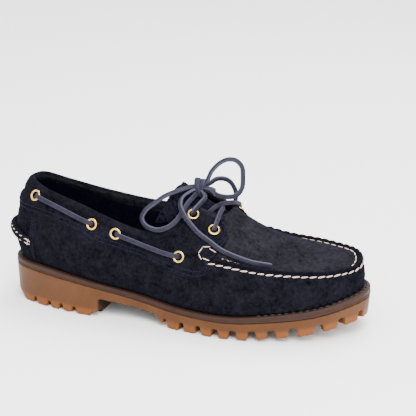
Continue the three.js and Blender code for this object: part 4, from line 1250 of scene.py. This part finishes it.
roll = outward(meshObject("heelRoll", rollRings.reshape(-1, 3), faces))
roll.data.materials.append(suede)
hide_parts("heel_roll")
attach(roll, "root")
rows = []
for sign in (1, -1):
    out = unit(rollNormal * 0.75 + rollSide * sign * 0.75)
    line = rollLine + out * (rollRadius * heelRoll["thread"])[:, None]
    rows.append((line[4:-4], out[4:-4]))  # short of the roll's ends
sewnRow("heelRollStitches", rows, creamThread)
knotRows = []
for end in (-3, 2):
    middle = rollLine[end] + rollNormal[end] * heelRoll["knotLift"]
    for pair in heelRoll["knots"]:
        line = evenly(np.stack([middle + rollSide[end] * a + along[end] * b for a, b in pair]), 0.6)
        knotRows.append((line, np.tile(rollNormal[end], (len(line), 1))))
sewnRow("heelRollKnots", knotRows, creamThread)
print("heel roll made")

soleLook = {
    "turnStep": 1.5, "undercut": 1.4, "notchTaper": 1.7, "depth": 7.2, "heelDepth": 5.5,
    "stepDepth": 3.9, "rim": 11.0, "arm": 8.0, "starWidth": 5.0, "voxel": 0.00105,
    "arch": [(85.2, -8), (86.8, 15.8), (137, 9), (139.5, 4.4), (150, -0.6), (150, -8)],
    "hollowTurns": (97.0, 156.0), "bevel": 0.95, "bevelLong": 15, "bevelHigh": 6,
    "breast": 85.4, "archEnd": 142, "step": (79.4, 88), "stepHigh": 4.4,
    "lugGlow": 0.7, "tintOver": 2.0, "tintFade": 3.0, "untinted": (86, 138),
    "archShadowTint": 0.85, "easing": 0.5, "easings": 2,
}
# Where each notch between two edge lugs is along the sole, how wide at the floor, and which depth
# of the sole it has.
notches = [
    (25, 5, "heelDepth"), (39.5, 5, "heelDepth"), (51.5, 5, "heelDepth"), (64, 5, "heelDepth"),
    (83.4, 7.6, "stepDepth"), (145, 5, "depth"), (160, 5.4, "depth"), (175, 6, "depth"),
    (189.5, 6.6, "depth"), (204.5, 7.2, "depth"), (220, 7.4, "depth"), (235, 7.6, "depth"),
    (251.5, 8.2, "depth"), (270.5, 8.2, "depth"), (285.5, 7.4, "depth"), (297.3, 6.4, "depth"),
]
starLugs = [164, 186, 208, 230, 252]  # the cross-shaped lugs along the middle


# Rings of the sole's outline, each with an inset and a height, closed above and below.
def soleShell(name, levels, fromTurn=0.6, toTurn=179.4):
    half = np.arange(fromTurn, toTurn + 0.01, soleLook["turnStep"])
    half[-1] = toTurn
    around = np.concatenate([half, 360 - half[::-1]])
    count = len(around)
    verts = []
    for inset, height in levels:
        shape = insetPoint(around, inset(around))
        verts.append(np.concatenate([shape, height(edgePoint(around)[:, 0])[:, None]], 1))
    faces = gridFaces(len(levels), count, loopColumns=True)
    faces += capFaces(0, count) + capFaces(len(levels) - 1, count)
    return outward(meshObject(name, np.concatenate(verts), faces))


def flat(value):
    return lambda turn: np.full(np.shape(turn), float(value))


# An outline in x and z, drawn out along y and then turned about the upright and moved.
def extruded(name, outline, rotate, length):
    count = len(outline)
    outline = np.array(outline, float)
    ends = [np.stack([outline[:, 0], np.full(count, y), outline[:, 1]], -1) for y in length]
    points = np.concatenate(ends)
    angle, origin = rotate
    turned = np.stack([points[:, 0] * math.cos(angle) - points[:, 1] * math.sin(angle) + origin[0],
                       points[:, 0] * math.sin(angle) + points[:, 1] * math.cos(angle) + origin[1],
                       points[:, 2]], -1)
    faces = gridFaces(2, count, loopColumns=True)
    faces.append(list(range(count)))
    faces.append([count + k for k in range(count)])
    return outward(meshObject(name, turned, faces))


def treadAt(x):
    return heightAt(x, "tread")


def jointAt(x):
    return heightAt(x, "joint") + last["gap"]


def topAt(x):
    return heightAt(x, "top")


def lastCoords(thing):
    coords = np.empty(len(thing.data.vertices) * 3)
    thing.data.vertices.foreach_get("co", coords)
    return (coords.reshape(-1, 3) - shift) * 1000


outsole = soleShell("outsole", [
    (flat(soleLook["undercut"]), treadAt),
    (flat(0.0), lambda x: heightAt(x, "joint")),
])
arch = extruded("archTool", soleLook["arch"], (0.0, (0, 0)), (-90, 90))
cutBy(outsole, arch)
bpy.data.objects.remove(arch)
for x, notchWide, depthName in notches:
    for side in (-1, 1):
        turn = float(turnsAt(x)) if side < 0 else 360 - float(turnsAt(x))
        edge = insetPoint(np.array(turn), np.array(-3.0))
        end = insetPoint(np.array(turn), np.array(soleLook["rim"] + 2))
        low = float(treadAt(x))
        top = low + soleLook[depthName]
        wide, narrow = notchWide / 2, (notchWide - soleLook["notchTaper"]) / 2
        angle = math.atan2(end[1] - edge[1], end[0] - edge[0]) - math.pi / 2
        tool = extruded("notchTool", [(-wide * 1.6, low - 6), (wide * 1.6, low - 6), (wide, low),
                                      (narrow, top), (-narrow, top), (-wide, low)],
                        (angle, edge), (0, float(np.linalg.norm(end - edge))))
        cutBy(outsole, tool)
        bpy.data.objects.remove(tool)
hollow = soleShell("hollowTool", [
    (flat(soleLook["rim"]), lambda x: np.full(np.shape(x), -5.0)),
    (flat(soleLook["rim"]), lambda x: treadAt(x) + soleLook["depth"] - 1),
], *soleLook["hollowTurns"])
for x in starLugs:
    middle = float(edgePoint(turnsAt(x))[1] + edgePoint(360 - turnsAt(x))[1]) / 2
    arm, half = soleLook["arm"], soleLook["starWidth"] / 2
    for long, wide in ((arm, half), (half, arm)):
        tool = extruded("starTool", [(-long, -30), (long, -30), (long, 30), (-long, 30)],
                        (0.0, (x, middle)), (-wide, wide))
        cutBy(hollow, tool)
        bpy.data.objects.remove(tool)
cutBy(outsole, hollow)
bpy.data.objects.remove(hollow)
rebuilt = outsole.modifiers.new("rebuilt", "REMESH")
rebuilt.mode = "VOXEL"
rebuilt.voxel_size = soleLook["voxel"]
rebuilt.use_smooth_shade = True
eased = outsole.modifiers.new("eased", "SMOOTH")
eased.factor = soleLook["easing"]
eased.iterations = soleLook["easings"]
applied(outsole)
print("outsole made", len(outsole.data.polygons))

# The foot of the heel slants in behind.
coords = lastCoords(outsole)
behind = (np.clip((soleLook["bevelLong"] - coords[:, 0]) / soleLook["bevelLong"], 0, 1)
          * np.clip(soleLook["bevelHigh"] - coords[:, 2], 0, soleLook["bevelHigh"]))
coords[:, 0] += soleLook["bevel"] * behind
outsole.data.vertices.foreach_set("co", (coords / 1000 + shift).ravel())

# The lower part of the sole with its lugs is painted warmer and lighter, a painted glow of light
# through the rubber, and the arch, the heel's breast and its step get painted shadow inside.
along, height = coords[:, 0], coords[:, 2]
tintTop = treadAt(along) + soleLook["heelDepth"] + soleLook["tintOver"]
lugs = np.clip((tintTop - height) / soleLook["tintFade"], 0, 1)
plainFrom, plainTo = soleLook["untinted"]
lugs *= (along > plainTo) | (along < plainFrom)
setAttribute(outsole, "shade", lugs * soleLook["lugGlow"])
inside = coords[:, 1] - edgePoint(turnsAt(along))[:, 1]
inArch = (np.clip((along - soleLook["breast"]) / 0.8, 0, 1)
          * np.clip((soleLook["archEnd"] - along) / 8, 0, 1))
stepFrom, stepTo = soleLook["step"]
inStep = (along > stepFrom) & (along < stepTo) & (height < soleLook["stepHigh"])
archShadow = np.maximum(inArch, inStep) * np.clip((inside - 2.2) / 3, 0, 1)
setAttribute(outsole, "archShadow", archShadow * soleLook["archShadowTint"])
outsole.data.materials.clear()
outsole.data.materials.append(gum)
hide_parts("outsole")
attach(outsole, "root")

# The side is inset and share of the height, and the top is inset and height over the top edge.
midsoleLook = {
    "side": [(12.0, 0), (0.5, 0), (0.05, 0.06), (-0.2, 0.13), (-0.15, 0.22), (0.3, 0.3),
             (0.15, 0.5), (0.05, 0.75), (0.25, 0.9), (0.7, 0.98)],
    "top": [(1.3, 0), (2.2, 0.05), (3.0, -0.15), (4.6, -0.25), (12.0, -0.1)],
    "seamInset": 2.75, "seamLift": 0.1, "seamTurns": (120, 240), "seamSteps": 500,
    "topTint": 0.15,
}


def between(share):
    return lambda x: jointAt(x) + share * (topAt(x) - jointAt(x))


def overTop(height):
    return lambda x: topAt(x) + height


midsole = soleShell("midsole", [
    *((flat(inset), between(share)) for inset, share in midsoleLook["side"]),
    *((flat(inset), overTop(height)) for inset, height in midsoleLook["top"]),
])
midsole.data.materials.append(midsoleRubber)
coords = lastCoords(midsole)
tops = np.clip((coords[:, 2] - topAt(coords[:, 0]) + 0.35) / 0.4, 0, 1)
setAttribute(midsole, "shade", tops * midsoleLook["topTint"])
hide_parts("midsole")
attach(midsole, "root")

ledgeTurns = np.linspace(*midsoleLook["seamTurns"], midsoleLook["seamSteps"])
ledge = insetPoint(ledgeTurns, np.full(len(ledgeTurns), midsoleLook["seamInset"]))
ledgeTop = topAt(edgePoint(ledgeTurns)[:, 0]) + midsoleLook["seamLift"]
ledgeLine = np.concatenate([ledge, ledgeTop[:, None]], 1)
sewnRow("soleStitches", [(ledgeLine, np.tile([0, 0, 1.0], (len(ledgeLine), 1)))], soleThread)

insoleLook = {"raised": 0.45, "edge": 0.6, "rounded": 0.7, "dishTo": 8, "dish": 0.1}


def insoleInset(further=0):
    return lambda turn: (sectionCurves["foot"](turn) + last["wall"] + 2 * last["gap"]) + further


insoleTop = insoleLook["raised"] + last["insole"]
insole = soleShell("insole", [
    (insoleInset(), overTop(insoleLook["raised"])),
    (insoleInset(), overTop(insoleTop - insoleLook["edge"])),
    (insoleInset(insoleLook["rounded"]), overTop(insoleTop)),
    (insoleInset(insoleLook["dishTo"]), overTop(insoleTop - insoleLook["dish"])),
])
insole.data.materials.append(lining)
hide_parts("insole")
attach(insole, "root")
print("sole made")

tongueSections = tableOf("x half crest drop", [
    (194, 17, 81, 7.4), (184, 19, 85.6, 11.5), (172, 20, 91, 15), (158, 20.5, 99.4, 19),
    (145, 21, 109, 28)])
tongueCurves = {name: curveOf(-tongueSections["x"], tongueSections[name])
                for name in tongueSections}
tongueLook = {"along": 70, "across": 60, "wave": 0.35, "corners": 16, "endDip": 1.8,
              "fallFront": 2.2, "fallMore": 0.8, "edgeWave": 0.4, "soft": 0.0006}


# The face of the tongue, or with a sink its underside, from the plug to the free end.
def tongueFace(sink):
    look = tongueLook
    share = np.linspace(0, 1, look["along"])[:, None]
    side = np.linspace(-1, 1, look["across"])[None, :]
    front, end = tongueSections["x"][0], tongueSections["x"][-1]
    x = front + (end - front) * share
    fall = look["fallFront"] + look["fallMore"] * share**2
    row = {name: tongueCurves[name](-x) for name in ("half", "crest", "drop")}
    ruffle = np.sin(x / 4.1 + side * 5) * np.sin(side * 7 + x / 9) + 0.5 * np.sin(side * 19)
    ruffle = look["wave"] * ruffle * (sink == 0)
    px = x - look["corners"] * side**2 * share**2 - sink * 0.35
    py = side * (row["half"] - sink * 0.2) + 1
    pz = row["crest"] - row["drop"] * np.abs(side) ** fall - sink * 0.94 + ruffle * 0.6
    px = px + share**8 * look["edgeWave"] * np.sin(side * 7 + 0.7)
    pz = pz - look["endDip"] * np.clip((share - 0.8) / 0.2, 0, 1) ** 2
    return np.stack([px, py, pz], -1)


top, under = tongueFace(0.0), tongueFace(last["tongue"])
tongueRows = np.concatenate([top, under[:, ::-1]], 1)
faces = gridFaces(tongueLook["along"], tongueRows.shape[1], loopColumns=True)
faces += capFaces(0, tongueRows.shape[1])
faces += capFaces(tongueLook["along"] - 1, tongueRows.shape[1])
tongue = outward(meshObject("tongue", tongueRows.reshape(-1, 3), faces))
softened = tongue.modifiers.new("softened", "BEVEL")
softened.width = tongueLook["soft"]
softened.segments = 2
softened.limit_method = "ANGLE"
applied(tongue)
tongue.data.polygons.foreach_set("use_smooth", [True] * len(tongue.data.polygons))
tongue.data.materials.clear()
tongue.data.materials.append(tongueSuede)
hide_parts("tongue")
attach(tongue, "root")
print("tongue made")

# A light is its place, its width and its power.
studio = {
    "floor": (0.97, 0.97, 0.97, 1), "half": 6, "below": 0.0004, "world": 2.0,
    "aim": (0, 0, 0.05),
    "keyLight": ((0.3, -0.95, 1.35), 0.9, 34.0),
    "fillLight": ((1.1, -0.9, 0.7), 1.0, 20.0),
    "topLight": ((0.2, 0.6, 1.5), 1.2, 36.0),
}
half = studio["half"]
floorCorners = [(x, y, -studio["below"])
                for x, y in ((-half, -half), (half, -half), (half, half), (-half, half))]
floorMesh = bpy.data.meshes.new("floor")
floorMesh.from_pydata(floorCorners, [], [(0, 1, 2, 3)])
floor = bpy.data.objects.new("floor", floorMesh)
scene.collection.objects.link(floor)
floorMaterial = bpy.data.materials.new("floor")
floorMaterial.use_nodes = True
floorShader = floorMaterial.node_tree.nodes["Principled BSDF"]
floorShader.inputs["Base Color"].default_value = studio["floor"]
floorShader.inputs["Roughness"].default_value = 0.9
floorMesh.materials.append(floorMaterial)

world = bpy.data.worlds.new("world")
scene.world = world
world.use_nodes = True
sky = world.node_tree.nodes["Background"].inputs
sky["Color"].default_value = (1, 1, 1, 1)
sky["Strength"].default_value = studio["world"]
for name in ("keyLight", "fillLight", "topLight"):
    place, size, power = studio[name]
    data = bpy.data.lights.new(name, "AREA")
    data.shape = "DISK"
    data.size = size
    data.energy = power
    light = bpy.data.objects.new(name, data)
    scene.collection.objects.link(light)
    light.location = place
    aim = Vector(studio["aim"]) - Vector(place)
    light.rotation_euler = aim.to_track_quat("-Z", "Y").to_euler()
print("light set")
